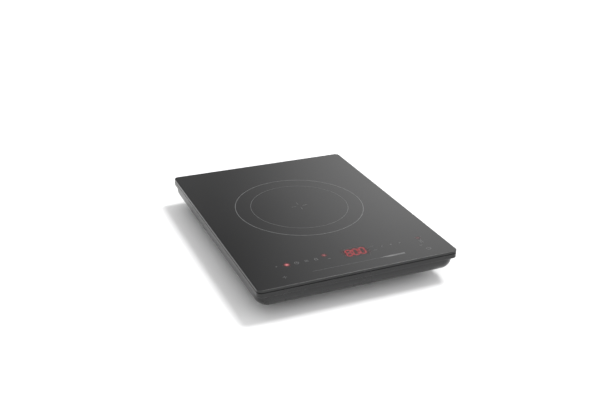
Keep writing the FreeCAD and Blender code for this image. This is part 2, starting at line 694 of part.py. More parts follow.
def case_holes():
    """Screw holes, cooling slots and the gland's hole."""
    pilot = "screw_radius + screw_gap"
    holes = []
    for number, (x, y) in enumerate(boss_places(), start=1):
        holes.append(cylinder(f"case_head_{number}", "head_pocket", "head_depth + tool_over",
                              x, y, "case_z - tool_over"))
        holes.append(cylinder(f"case_pass_{number}", "screw_radius + screw_pass",
                              "boss_split + tool_over", x, y, "case_z"))
    for (side, end), name in FOOT_NAMES.items():
        x, y = foot_place(side, end)
        deep = "foot_recess_depth + foot_screw_length - foot_height + foot_pilot_over + tool_over"
        holes.append(cylinder("pilot_" + name, pilot, deep, x, y, "foot_height - tool_over"))
    for number, (x, y) in enumerate(power_board_holes(), start=1):
        holes.append(cylinder(f"power_pilot_{number}", pilot,
                              "board_screw_length - board_thickness + pilot_over", x, y,
                              "power_top - board_screw_length - pilot_over"))
    for number, (x, y) in enumerate(fan_holes(), start=1):
        holes.append(cylinder(f"fan_pilot_{number}", pilot, "fan_lift + wall - pilot_skin",
                              x, y, "case_z + pilot_skin"))
    for number, angle in enumerate(EAR_ANGLES, start=1):
        x, y = ear_place(angle)
        holes.append(cylinder(f"coil_pilot_{number}", pilot, "coil_pilot_depth", x, y,
                              "bush_z - coil_pilot_depth"))
    for number, (x, y) in enumerate(clamp_places(), start=1):
        holes.append(cylinder(f"clamp_pilot_{number}", pilot, "clamp_pilot_depth", x, y,
                              "clamp_z - clamp_pilot_depth"))
    for number in INTAKE_SLOTS:
        offset = f"({number} * slot_pitch)"
        reach = "(fan_mouth - intake_margin)"
        chord = f"(2 * sqrt({reach} * {reach} - {offset} * {offset}))"
        holes.append(box(f"intake_{number + 5}", "slot_width", chord, "wall + 2 * tool_over",
                         f"fan_x + {offset}", "fan_y", "case_z - tool_over"))
    for number in OUTLET_SLOTS:
        holes.append(box(f"outlet_{number + 6}", "slot_width", "case_bowl + 2 * outlet_over",
                         "outlet_high - outlet_low", f"outlet_centre + {number} * slot_pitch",
                         "back_y - case_inset - case_bowl / 2 + outlet_over", "case_z + outlet_low"))
    holes.append(cylinder_along_y("gland_hole", "gland_body + gland_gap", "wall + 2 * tool_over",
                                  "recess_x", "recess_wall_y - wall - tool_over", "gland_z"))
    return holes


def make_bottom_case():
    shell = make_case_shell()
    # the solid bowl again, to trim the bosses that stand in its curved sides
    copy_body = new_body("case_bowl_body")
    copy = pad_rounded(copy_body, "bowl_tub", "case_width", "case_length", "case_corner",
                       "case_z", "case_depth")
    doc.recompute()
    round_edges(copy_body, "bowl_sides", "Fillet", copy, copy.Shape.BoundBox.ZMin, "case_bowl")
    posts = case_posts(group("case_bowl_copy", [copy_body]))
    return cut("bottom_case", join("case_with_posts", [shell] + posts), case_holes())


def make_feet():
    """Four tapered rubber feet, each with a recess for its screw."""
    feet = []
    for (side, end), name in FOOT_NAMES.items():
        x, y = foot_place(side, end)
        cone = doc.addObject("Part::Cone", name + "_cone")
        bind(cone, Radius1="foot_radius - foot_taper", Radius2="foot_radius", Height="foot_height")
        place(cone, x, y, "0")
        recess = cylinder(name + "_recess", "foot_recess", "foot_recess_depth", x, y, "0")
        hole = cylinder(name + "_hole", "screw_radius + screw_pass", "foot_height", x, y, "0")
        feet.append(cut(name, cone, [recess, hole]))
    return feet


def make_foot_screws():
    screws = []
    for side, end in CORNERS:
        x, y = foot_place(side, end)
        screws.append(screw("foot_screw_" + FOOT_NAMES[(side, end)], "foot_screw_length", x, y,
                            "foot_recess_depth", False))
    return group("foot_screws", screws)


def make_case_screws():
    screws = []
    for number, (x, y) in enumerate(boss_places(), start=1):
        screws.append(screw(f"case_screw_{number}", "case_screw_length", x, y,
                            "case_z + head_depth", False))
    return group("case_screws", screws)


# ---------------------------------------------------------------- coil stack

def turned(item, angle, x, y, z):
    """Turn an item about +Z by a fixed angle, with its corner at a bound place."""
    item.Placement = FreeCAD.Placement(FreeCAD.Vector(), FreeCAD.Rotation(FreeCAD.Vector(0, 0, 1), angle))
    return place(item, x, y, z)


def radial_box(name, length, width, height, start, angle, z):
    """A bar that lies along a radius of the coil and begins at start from its axis."""
    item = doc.addObject("Part::Box", name)
    bind(item, Length=length, Width=width, Height=height)
    x = f"({start}) * cos({angle}) + ({width}) / 2 * sin({angle})"
    y = f"coil_y + ({start}) * sin({angle}) - ({width}) / 2 * cos({angle})"
    return turned(item, angle, x, y, z)


def ferrite_angles():
    return [360 / FERRITE_COUNT * step for step in range(FERRITE_COUNT)]


def make_carrier():
    """Spoked plate: an outer ring, a hub ring, spokes over the ferrites and three screw ears."""
    pieces = [ring("carrier_ring", "carrier_radius", "carrier_radius - carrier_rim",
                   "carrier_thickness", "0", "coil_y", "carrier_z"),
              ring("carrier_hub", "hub_radius", "hub_hole", "carrier_thickness",
                   "0", "coil_y", "carrier_z")]
    for number, angle in enumerate(ferrite_angles(), start=1):
        pieces.append(radial_box(f"carrier_spoke_{number}",
                                 "carrier_radius - carrier_rim - hub_radius + 2 * spoke_seat",
                                 "spoke_width", "carrier_thickness", "hub_radius - spoke_seat",
                                 angle, "carrier_z"))
    holes = []
    for number, angle in enumerate(EAR_ANGLES, start=1):
        x, y = ear_place(angle)
        pieces.append(cylinder(f"carrier_ear_{number}", "ear_radius", "carrier_thickness",
                               x, y, "carrier_z"))
        holes.append(cylinder(f"carrier_ear_hole_{number}", "screw_radius + screw_pass",
                              "carrier_thickness", x, y, "carrier_z"))
    return cut("coil_carrier", join("carrier_solid", pieces), holes)


def make_coil():
    """Flat spiral of half circles whose centres alternate, so that its pitch stays constant."""
    pitch = size("coil_pitch")
    start = size("coil_inner")
    wire = size("coil_wire")
    room = size("carrier_radius") - size("carrier_rim") - size("coil_rim_gap") - start
    turns = int(room / pitch)

    def edge_arcs(extra):
        arcs = []
        for half in range(2 * turns):
            radius = start + half * pitch / 2 + extra
            centre = pitch / 2 if half % 2 else 0.0
            turn = math.pi if half % 2 else 0.0
            points = []
            for angle in (turn, turn + math.pi / 2, turn + math.pi):
                points.append(FreeCAD.Vector(centre + radius * math.cos(angle),
                                             radius * math.sin(angle), 0))
            arcs.append(Part.Arc(*points).toShape())
        return arcs

    inner = edge_arcs(0.0)
    outer = edge_arcs(wire)
    ends = [Part.LineSegment(inner[0].Vertexes[0].Point, outer[0].Vertexes[0].Point).toShape(),
            Part.LineSegment(inner[-1].Vertexes[-1].Point, outer[-1].Vertexes[-1].Point).toShape()]
    outline = Part.Wire(Part.__sortEdges__(inner + outer + ends))
    coil = doc.addObject("Part::Feature", "induction_coil")
    coil.Shape = Part.Face(outline).extrude(FreeCAD.Vector(0, 0, size("coil_height")))
    return place(coil, "0", "coil_y", "coil_z")


def make_coil_stack():
    parts = [make_carrier(), make_coil()]
    for number, angle in enumerate(ferrite_angles(), start=1):
        parts.append(radial_box(f"ferrite_bar_{number}", "ferrite_length", "ferrite_width",
                                "ferrite_height", "hub_radius + ferrite_hub_gap", angle,
                                "ferrite_z"))
    parts.append(ring("mica_sheet", "carrier_radius - mica_inset", "mica_hole", "mica_thickness",
                      "0", "coil_y", "mica_z"))
    holder = join("holder_solid",
                  [cylinder("holder_flange", "hub_hole + holder_lip", "sensor_flange", "0", "coil_y",
                            "carrier_z - sensor_flange"),
                   cylinder("holder_body", "hub_hole - sensor_fit", "glass_z - carrier_z - holder_gap",
                            "0", "coil_y", "carrier_z")])
    pocket = cylinder("holder_pocket", "sensor_radius + screw_gap", "sensor_length", "0", "coil_y",
                      "glass_z - sensor_length")
    parts.append(cut("sensor_holder", holder, [pocket]))
    parts.append(cylinder("thermal_sensor", "sensor_radius", "sensor_length", "0", "coil_y",
                          "glass_z - sensor_length"))
    screws = []
    for number, angle in enumerate(EAR_ANGLES, start=1):
        x, y = ear_place(angle)
        parts.append(ring(f"coil_bush_{number}", "ear_radius - ear_step", "screw_radius + screw_pass",
                          "bush_height", x, y, "bush_z"))
        screws.append(screw(f"coil_screw_{number}",
                            "bush_height + carrier_thickness + coil_screw_grip", x, y,
                            "carrier_z + carrier_thickness", True))
    parts.append(group("coil_screws", screws))
    return parts


# ---------------------------------------------------------------- power electronics

def on_board(name, length, depth, height, x, from_back):
    """A block on the power board: x from the board's left edge, from_back from its back edge."""
    return box(name, length, depth, height, f"0 - power_width / 2 + {x}",
               f"power_back - {from_back} - {depth} / 2", "power_top")


def make_power_board():
    board = box("power_sheet", "power_width", "power_depth", "board_thickness",
                "0", "power_y", "power_z")
    holes = [cylinder(f"power_hole_{number}", "screw_radius + screw_pass", "board_thickness",
                      x, y, "power_z") for number, (x, y) in enumerate(power_board_holes(), start=1)]
    return cut("power_board", board, holes)


def sink_screw_places():
    return [(f"sink_x + {side} * sink_length / 4", "sink_y") for side in (-1, 1)]


def make_heatsink():
    """Extruded base plate with upright fins, a wide gap in the middle for the screw heads."""
    pieces = [box("sink_plate", "sink_length", "sink_depth", "sink_base",
                  "sink_x", "sink_y", "sink_z")]
    for side in (-1, 1):
        for number in FIN_SIDES:
            pieces.append(box(f"fin_{number}_{'back' if side > 0 else 'front'}", "sink_length",
                              "sink_fin", "part_height - chip_height", "sink_x",
                              f"sink_y + {side} * {number} * sink_fin_pitch", "sink_z"))
    holes = [cylinder(f"sink_hole_{number}", "screw_radius + screw_pass", "sink_base", x, y, "sink_z")
             for number, (x, y) in enumerate(sink_screw_places(), start=1)]
    return cut("heatsink", join("sink_solid", pieces), holes)


def make_power_parts():
    parts = [make_power_board(), make_heatsink()]
    chips = {"igbt": ("igbt_length", "igbt_depth"),
             "bridge_rectifier": ("rectifier_length", "rectifier_depth")}
    screws = []
    for (name, (length, depth)), (x, y) in zip(chips.items(), sink_screw_places()):
        chip = box(name + "_solid", length, depth, "chip_height", x, y, "power_top")
        hole = cylinder(name + "_hole", "screw_radius + screw_gap", "chip_pilot", x, y,
                        "sink_z - chip_pilot")
        parts.append(cut(name, chip, [hole]))
        screws.append(screw("sink_screw_" + name, "sink_base + chip_grip", x, y,
                            "sink_z + sink_base", True))
    parts.append(group("heatsink_screws", screws))
    parts.append(on_board("mains_terminal", "inlet_size", "inlet_size", "inlet_height",
                          "inlet_left", "inlet_back"))
    parts.append(on_board("mains_capacitor", "mains_cap_length", "mains_cap_depth", "part_height",
                          "mains_cap_left", "part_back"))
    parts.append(on_board("filter_capacitor", "filter_length", "filter_depth", "part_height",
                          "filter_left", "part_back"))
    parts.append(on_board("resonant_capacitor", "filter_length", "resonant_depth", "part_height",
                          "filter_left", "(part_back + filter_depth + part_gap)"))
    fuse_y = "power_back - fuse_back"
    fuse = doc.addObject("Part::Cylinder", "fuse_barrel")
    bind(fuse, Radius="fuse_radius", Height="fuse_length")
    fuse.Placement = FreeCAD.Placement(FreeCAD.Vector(), FreeCAD.Rotation(FreeCAD.Vector(0, 1, 0), 90))
    fuse_x = "0 - power_width / 2 + fuse_left"
    place(fuse, fuse_x, fuse_y, "power_top + fuse_lift")
    clips = [box(f"fuse_clip_{number}", "clip_length", "clip_depth", "clip_height",
                 f"{fuse_x} + {along}", fuse_y, "power_top")
             for number, along in enumerate(("clip_inset", "fuse_length - clip_inset"), start=1)]
    parts.append(join("fuse", [fuse] + clips))
    parts.append(cylinder("supply_capacitor", "supply_radius", "small_height", "supply_x",
                          "power_back - small_back", "power_top"))
    parts.append(cylinder("buzzer", "buzzer_radius", "small_height", "buzzer_x",
                          "power_back - small_back", "power_top"))
    choke_x = "0 - power_width / 2 + choke_left"
    choke_y = "power_back - part_back - choke_radius - choke_back"
    lift = "power_top + choke_lift"
    parts.append(ring("choke_core", "choke_radius", "choke_hole", "choke_height",
                      choke_x, choke_y, lift))
    section_x = size("choke_radius") - size("choke_hole")
    reach = math.hypot(section_x, size("choke_height")) / 2 + size("choke_wire") + size("choke_wire_gap")
    turns = []
    for number in range(CHOKE_TURNS):
        angle = 360 / CHOKE_TURNS * number
        turn = doc.addObject("Part::Torus", f"choke_turn_{number + 1}")
        turn.Radius1 = reach
        bind(turn, Radius2="choke_wire")
        about_z = FreeCAD.Rotation(FreeCAD.Vector(0, 0, 1), angle)
        upright = FreeCAD.Rotation(FreeCAD.Vector(1, 0, 0), 90)
        turn.Placement = FreeCAD.Placement(FreeCAD.Vector(), about_z.multiply(upright))
        middle = "(choke_radius + choke_hole) / 2"
        place(turn, f"{choke_x} + {middle} * cos({angle})", f"{choke_y} + {middle} * sin({angle})",
              f"{lift} + choke_height / 2")
        turns.append(turn)
    parts.append(group("choke_winding", turns))
    posts = [box(f"coil_terminal_{number}", "terminal_size", "terminal_size", "terminal_size",
                 x, "power_back - terminal_back", "power_top")
             for number, x in enumerate(("terminal_near", "terminal_far"), start=1)]
    parts.append(group("coil_terminals", posts))
    return parts


# ---------------------------------------------------------------- fan and air guide

def make_fan_frame():
    """Square frame with a round mouth; struts carry the motor plate and the bearing tube."""
    body = new_body("fan_square")
    pad_rounded(body, "fan_block", "fan_size", "fan_size", "fan_corner", "0", "fan_height")
    place(body, "fan_x", "fan_y", "fan_z")
    mouth = cylinder("fan_mouth_tool", "fan_mouth", "fan_height", "fan_x", "fan_y", "fan_z")
    shell = cut("fan_shell", body, [mouth])
    pieces = [shell, cylinder("fan_plate", "fan_hub - fan_plate_inset", "fan_base",
                              "fan_x", "fan_y", "fan_z"),
              cylinder("fan_tube", "bearing_tube", "fan_height - fan_tube_drop", "fan_x", "fan_y", "fan_z")]
    for number in range(STRUT_COUNT):
        angle = 360 / STRUT_COUNT * number + STRUT_START
        strut = doc.addObject("Part::Box", f"fan_strut_{number + 1}")
        bind(strut, Length="fan_mouth - fan_hub + strut_seat + join_overlap",
             Width="fan_strut", Height="fan_base")
        x = f"fan_x + (fan_hub - strut_seat) * cos({angle}) + fan_strut / 2 * sin({angle})"
        y = f"fan_y + (fan_hub - strut_seat) * sin({angle}) - fan_strut / 2 * cos({angle})"
        pieces.append(turned(strut, angle, x, y, "fan_z"))
    holes = [cylinder(f"fan_frame_hole_{number}", "screw_radius + screw_pass", "fan_height",
                      x, y, "fan_z") for number, (x, y) in enumerate(fan_holes(), start=1)]
    holes.append(cylinder("fan_bearing_hole", "bearing_radius",
                          "fan_height - fan_tube_drop - bearing_floor", "fan_x", "fan_y",
                          "fan_z + bearing_floor"))
    return cut("fan_frame", join("fan_frame_solid", pieces), holes)


def make_rotor():
    """Cup with tilted blades, trimmed by a ring that leaves the tip gap."""
    cup = cut("rotor_cup",
              cylinder("cup_outer", "fan_hub", "rotor_height", "fan_x", "fan_y", "rotor_z"),
              [cylinder("cup_inner", "fan_hub - fan_cup", "rotor_height - cup_top",
                        "fan_x", "fan_y", "rotor_z")])
    blades = []
    for number in range(BLADE_COUNT):
        angle = 360 / BLADE_COUNT * number
        blade = doc.addObject("Part::Box", f"rotor_blade_{number + 1}")
        bind(blade, Length="fan_mouth", Width="fan_blade", Height="2 * fan_height")
        about_z = FreeCAD.Rotation(FreeCAD.Vector(0, 0, 1), angle)
        tilt = FreeCAD.Rotation(FreeCAD.Vector(1, 0, 0), BLADE_TILT)
        lean = math.tan(math.radians(BLADE_TILT))
        blade.Placement = FreeCAD.Placement(FreeCAD.Vector(), about_z.multiply(tilt))
        # the plate leans about the radius, so it starts as far aside as it leans over its height
        aside = f"(fan_height / 2 * {lean:.4f})"
        place(blade, f"fan_x - {aside} * sin({angle})", f"fan_y + {aside} * cos({angle})",
              "rotor_z - blade_start")
        blades.append(blade)
    sweep = ring("rotor_sweep", "fan_mouth - fan_tip_gap", "fan_hub - fan_cup / 2",
                 "rotor_height - 2 * blade_margin", "fan_x", "fan_y", "rotor_z + blade_margin")
    trimmed = overlap("rotor_blades", join("rotor_plates", blades), sweep)
    bore = cylinder("rotor_bore", "shaft_radius", "rotor_height", "fan_x", "fan_y", "rotor_z")
    return cut("fan_rotor", join("rotor_solid", [cup, trimmed]), [bore])


def make_fan():
    parts = [make_fan_frame(), make_rotor()]
    parts.append(ring("fan_bearing", "bearing_radius", "shaft_radius + shaft_gap",
                      "fan_height - fan_tube_drop - bearing_floor - bearing_recess",
                      "fan_x", "fan_y", "fan_z + bearing_floor"))
    parts.append(cylinder("fan_shaft", "shaft_radius", "fan_height - shaft_floor - rotor_recess",
                          "fan_x", "fan_y", "fan_z + shaft_floor"))
    magnet = "fan_hub - fan_cup"
    parts.append(ring("fan_magnet", magnet, f"{magnet} - fan_magnet_wall",
                      "rotor_height - magnet_drop", "fan_x", "fan_y", "rotor_z + magnet_lift"))
    parts.append(ring("fan_stator", f"{magnet} - fan_magnet_wall - fan_air_gap", "bearing_tube",
                      "rotor_height - stator_drop", "fan_x", "fan_y", "fan_z + fan_base"))
    screws = [screw(f"fan_screw_{number}", "fan_height + fan_lift + wall - fan_screw_skin", x, y,
                    "fan_z + fan_height", True) for number, (x, y) in enumerate(fan_holes(), start=1)]
    parts.append(group("fan_screws", screws))
    inner = "(carrier_radius + guide_gap)"
    wall = ring("guide_ring", f"{inner} + guide_wall", inner, "guide_height", "0", "coil_y", "floor_z")
    side = box("guide_side", "carrier_radius", "guide_span * carrier_radius", "guide_height",
               "guide_shift * carrier_radius", "coil_y", "floor_z")
    parts.append(overlap("air_guide", wall, side))
    return parts


# ---------------------------------------------------------------- controls

def make_controls():
    board = box("control_sheet", "control_width", "control_depth", "board_thickness",
                "0", "control_y", "control_z")
    holes = [cylinder(f"control_hole_{number}", "screw_radius + screw_pass", "board_thickness",
                      x, y, "control_z") for number, (x, y) in enumerate(lug_places(), start=1)]
    parts = [cut("control_board", board, holes)]
    row_y = "front_y + key_back_row"
    parts.append(box("display_module", "display_length", "display_width", "key_gap - display_gap",
                     "display_x", row_y, "control_top"))
    lights = []
    for number, (x, from_front) in enumerate(LIGHT_PLACES, start=1):
        y = f"front_y + {from_front}"
        lights.append(join(f"light_{number}",
                           [cylinder(f"light_{number}_lens", "led_radius", "key_gap - led_gap", x, y,
                                     "control_top"),
                            cylinder(f"light_{number}_collar", "led_radius + led_collar",
                                     "led_collar_height", x, y, "control_top")]))
    parts.append(group("indicator_leds", lights))
    keys = [("key_left_x", "front_y + key_front_row"), ("key_right_x", "front_y + key_front_row")]
    keys += [(f"0 + {x}", row_y) for x in BACK_ROW_KEYS]
    springs = [ring(f"touch_spring_{number}", "spring_radius", "spring_radius - spring_wall",
                    "key_gap", x, y, "control_top") for number, (x, y) in enumerate(keys, start=1)]
    parts.append(group("touch_springs", springs))
    # the flat cable bends back on itself between the two boards
    middle = "(power_top + control_z) / 2"
    reach = "(control_z - power_top) / 2"
    cable_y = "front_y + power_front + ribbon_inset"
    loops = []
    for name, radius in (("ribbon_outer", reach), ("ribbon_inner", f"{reach} - ribbon_thickness")):
        loop = doc.addObject("Part::Cylinder", name)
        bind(loop, Radius=radius, Height="ribbon_width")
        loop.Placement = FreeCAD.Placement(FreeCAD.Vector(), FreeCAD.Rotation(FreeCAD.Vector(0, 1, 0), 90))
        loops.append(place(loop, "ribbon_x", cable_y, middle))
    half = box("ribbon_half", "ribbon_width", "control_depth / 2", "control_z - power_top",
               "ribbon_x + ribbon_width / 2", f"{cable_y} + control_depth / 4", "power_top")
    parts.append(overlap("ribbon_cable", cut("ribbon_tube", loops[0], [loops[1]]), half))
    return parts


def make_board_screws():
    """The same short screw holds both boards and the cord clamp."""
    screws = []
    for number, (x, y) in enumerate(power_board_holes(), start=1):
        screws.append(screw(f"power_screw_{number}", "board_screw_length", x, y, "power_top", True))
    for number, (x, y) in enumerate(lug_places(), start=1):
        screws.append(screw(f"control_screw_{number}", "board_screw_length", x, y, "control_z", False))
    for number, (x, y) in enumerate(clamp_places(), start=1):
        screws.append(screw(f"clamp_screw_{number}", "board_screw_length", x, y,
                            "clamp_z + clamp_thickness", True))
    return group("board_screws", screws)


# ---------------------------------------------------------------- cord gland and coil leads

def make_gland():
    """Strain relief in the recess's wall: clip inside, flange and tapered tail outside."""
    wall_in = "recess_wall_y - wall"
    tail = doc.addObject("Part::Cone", "gland_tail_cone")
    bind(tail, Radius1="gland_body", Radius2="gland_tail_end", Height="gland_tail")
    tail.Placement = FreeCAD.Placement(FreeCAD.Vector(), FreeCAD.Rotation(FreeCAD.Vector(1, 0, 0), -90))
    place(tail, "recess_x", "recess_wall_y + gland_flange_length", "gland_z")
    solid = join("gland_solid",
                 [cylinder_along_y("gland_clip", "gland_flange", "gland_clip_length", "recess_x",
                                   f"{wall_in} - gland_clip_length", "gland_z"),
                  cylinder_along_y("gland_neck", "gland_body", "wall", "recess_x", wall_in, "gland_z"),
                  cylinder_along_y("gland_collar", "gland_flange", "gland_flange_length", "recess_x",
                                   "recess_wall_y", "gland_z"),
                  tail])
    bore = cylinder_along_y("gland_bore_tool", "gland_bore",
                            "gland_clip_length + wall + gland_flange_length + gland_tail",
                            "recess_x", f"{wall_in} - gland_clip_length", "gland_z")
    return cut("cord_gland", solid, [bore])


def make_clamp():
    bar = box("clamp_bar", "2 * clamp_post_spread + 2 * clamp_end", "clamp_width",
              "clamp_thickness", "recess_x", "back_y - clamp_y", "clamp_z")
    holes = [cylinder(f"clamp_hole_{number}", "screw_radius + screw_pass", "clamp_thickness",
                      x, y, "clamp_z") for number, (x, y) in enumerate(clamp_places(), start=1)]
    return cut("cord_clamp", bar, holes)


def pipe_along(name, points, radius, bend):
    """A round lead of straight runs joined by tangent arcs of one bend radius."""
    edges = []
    start = points[0]
    for before, corner, after in zip(points, points[1:], points[2:]):
        back = (before - corner).normalize()
        ahead = (after - corner).normalize()
        half = back.getAngle(ahead) / 2
        reach = bend / math.tan(half)
        centre_line = (back + ahead).normalize()
        arc_start = corner + back * reach
        arc_end = corner + ahead * reach
        arc_middle = corner + centre_line * (bend / math.sin(half) - bend)
        edges.append(Part.LineSegment(start, arc_start).toShape())
        edges.append(Part.Arc(arc_start, arc_middle, arc_end).toShape())
        start = arc_end
    edges.append(Part.LineSegment(start, points[-1]).toShape())
    path = Part.Wire(edges)
    section = Part.Wire(Part.makeCircle(radius, points[0], points[1] - points[0]))
    lead = doc.addObject("Part::Feature", name)
    lead.Shape = path.makePipeShell([section], True, True)
    return lead


def make_leads():
    """Two leads from the winding to the board's terminals, under the carrier."""
    doc.recompute()
    posts = [item.BoundBox for item in doc.getObject("coil_terminals").Shape.Solids]
    coil = doc.getObject("induction_coil").Shape.BoundBox
    bars = doc.getObject("ferrite_bar_1").Shape.BoundBox
    radius = size("lead_radius")
    bend = 2 * radius
    leads = []
    low = bars.ZMin - radius - size("lead_gap")
    # both leads rise between two spokes: one at the winding's rim, one beside the hub
    targets = (("coil_lead_outer", coil.YMin + size("coil_wire") + size("lead_start")),
               ("coil_lead_inner", size("coil_y") - posts[1].Center.x * math.tan(math.radians(30))))
    for (name, start_y), post in zip(targets, posts):
        x = post.Center.x
        points = [FreeCAD.Vector(x, start_y, coil.ZMin),
                  FreeCAD.Vector(x, start_y, low),
                  FreeCAD.Vector(x, post.YMax, low)]
        leads.append(pipe_along(name, points, radius, bend))
    return leads


# ---------------------------------------------------------------- build, test and write

def make_all():
    parts = [make_glass(), make_seal(), make_top_frame(), make_bottom_case()]
    parts += make_feet()
    parts += [make_foot_screws(), make_case_screws()]
    parts += make_coil_stack()
    parts += make_power_parts()
    parts += make_fan()
    parts += make_controls()
    parts += [make_board_screws(), make_gland(), make_clamp()]
    parts += make_leads()
    return parts


def test_objects(parts):
    """Stop when any feature failed or any sub-part has no valid shape."""
    for item in doc.Objects:
        if "Invalid" in item.State or "Error" in item.State:
            raise RuntimeError(f"{item.Name} failed: {item.State}")
    for part in parts:
        if part.Shape.isNull() or not part.Shape.isValid() or not part.Shape.Solids:
            raise RuntimeError(f"{part.Label} has no valid solid")


sub_parts = make_all()
for sub_part in sub_parts:
    sub_part.Label = sub_part.Name
doc.recompute()
test_objects(sub_parts)
os.makedirs("parts", exist_ok=True)
for sub_part in sub_parts:
    sub_part.Shape.exportStep(os.path.join("parts", sub_part.Label + ".step"))
print(len(sub_parts), "sub-parts written")
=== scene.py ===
import json
import math

import bmesh
import bpy
import numpy as np
from bpy.props import FloatProperty, FloatVectorProperty, PointerProperty
from bpy.types import Operator, Panel, PropertyGroup
from mathutils import Matrix, Vector


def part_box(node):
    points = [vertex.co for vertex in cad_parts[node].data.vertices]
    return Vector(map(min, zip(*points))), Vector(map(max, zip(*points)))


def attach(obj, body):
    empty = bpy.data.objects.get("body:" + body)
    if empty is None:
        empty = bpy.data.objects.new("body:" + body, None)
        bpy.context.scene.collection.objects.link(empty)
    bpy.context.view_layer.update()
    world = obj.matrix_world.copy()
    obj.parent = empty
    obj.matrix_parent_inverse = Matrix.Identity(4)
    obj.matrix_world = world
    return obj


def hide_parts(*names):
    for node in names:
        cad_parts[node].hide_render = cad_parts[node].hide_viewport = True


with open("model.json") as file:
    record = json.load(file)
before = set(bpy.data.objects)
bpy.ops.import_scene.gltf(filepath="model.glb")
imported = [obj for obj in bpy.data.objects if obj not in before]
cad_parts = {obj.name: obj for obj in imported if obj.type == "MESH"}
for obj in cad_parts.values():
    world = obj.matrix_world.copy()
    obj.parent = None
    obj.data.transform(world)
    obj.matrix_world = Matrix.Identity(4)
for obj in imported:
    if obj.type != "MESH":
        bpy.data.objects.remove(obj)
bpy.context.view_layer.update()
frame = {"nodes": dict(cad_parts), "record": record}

bl_info = {
    "name": "Induction Cooktop",
    "version": (1, 0, 0),
    "blender": (4, 5, 0),
    "location": "View3D > Sidebar > Cooktop",
    "description": "Builds the visible pieces and finishes of a portable induction cooktop",
    "category": "Object",
}

MM = 0.001
GLASS_LOW, GLASS_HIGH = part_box("glass_top")
GLASS_TOP = GLASS_HIGH.z
FRONT_EDGE = GLASS_LOW.y
SMOOTH_ANGLE = math.radians(38)
PRINT_SEAT = 0.01 * MM      # how far prints and digits reach into the glass
LIGHT_SEAT = 0.02 * MM      # how far glows and indicator lights reach into it
LINT = (0.42, 0.40, 0.38, 1)


# ---------------------------------------------------------------- settings

class CooktopSizes(PropertyGroup):
    """Sizes that a user would change."""
    plate_corner: FloatProperty(
        name="Plate corner", description="Plan radius of the glass plate's corners",
        default=7 * MM, min=1 * MM, subtype="DISTANCE", unit="LENGTH")
    ground_edge: FloatProperty(
        name="Ground edge", description="Radius of the rounded edge of the glass",
        default=0.9 * MM, min=0.1 * MM, subtype="DISTANCE", unit="LENGTH")
    print_height: FloatProperty(
        name="Print height", description="Thickness of the fired print on the glass",
        default=0.04 * MM, min=0.01 * MM, subtype="DISTANCE", unit="LENGTH")
    line_width: FloatProperty(
        name="Line width", description="Width of the printed lines",
        default=0.55 * MM, min=0.1 * MM, subtype="DISTANCE", unit="LENGTH")
    digit_height: FloatProperty(
        name="Digit height", description="Height of a display digit",
        default=15.0 * MM, min=1 * MM, subtype="DISTANCE", unit="LENGTH")
    zone_radius: FloatProperty(
        name="Cooking zone", description="Outer radius of the printed cooking zone",
        default=92 * MM, min=20 * MM, subtype="DISTANCE", unit="LENGTH")


class CooktopColours(PropertyGroup):
    """Colours that a user would change."""
    glass: FloatVectorProperty(
        name="Glass", description="Body colour of the black ceramic glass",
        default=(0.0022, 0.0022, 0.0025), size=3, min=0, max=1, subtype="COLOR")
    case: FloatVectorProperty(
        name="Case", description="Colour of the moulded frame and case",
        default=(0.005, 0.005, 0.0053), size=3, min=0, max=1, subtype="COLOR")
    print_grey: FloatVectorProperty(
        name="Print", description="Colour of the fired print",
        default=(0.13, 0.13, 0.133), size=3, min=0, max=1, subtype="COLOR")
    light_red: FloatVectorProperty(
        name="Lights", description="Colour of the lit digits and indicator lights",
        default=(0.62, 0.030, 0.040), size=3, min=0, max=1, subtype="COLOR")


class CooktopStudio(PropertyGroup):
    """Light and floor of the stage."""
    key_strength: FloatProperty(
        name="Key light", description="Strength of the soft key light",
        default=1.8, min=0)
    key_softness: FloatProperty(
        name="Key softness", description="Angular size of the key light",
        default=math.radians(16), min=0, subtype="ANGLE", unit="ROTATION")
    fill_dim: FloatProperty(
        name="Dim side", description="Studio brightness on its darker side", default=0.40, min=0)
    fill_bright: FloatProperty(
        name="Bright side", description="Studio brightness on its lighter side",
        default=1.42, min=0)
    lens: FloatProperty(
        name="Lens", description="Focal length of the camera in millimetres",
        default=50.35, min=10)


# ---------------------------------------------------------------- surfaces

def grid_faces(rows, cols, wrap_rows=False, wrap_cols=True):
    """Quads of a rows x cols grid of points numbered row by row, wrapped where asked."""
    i = np.arange(rows if wrap_rows else rows - 1)
    j = np.arange(cols if wrap_cols else cols - 1)
    i, j = (a.ravel() for a in np.meshgrid(i, j, indexing="ij"))
    i2, j2 = (i + 1) % rows, (j + 1) % cols
    return np.stack([i * cols + j, i * cols + j2, i2 * cols + j2, i2 * cols + j], axis=1)


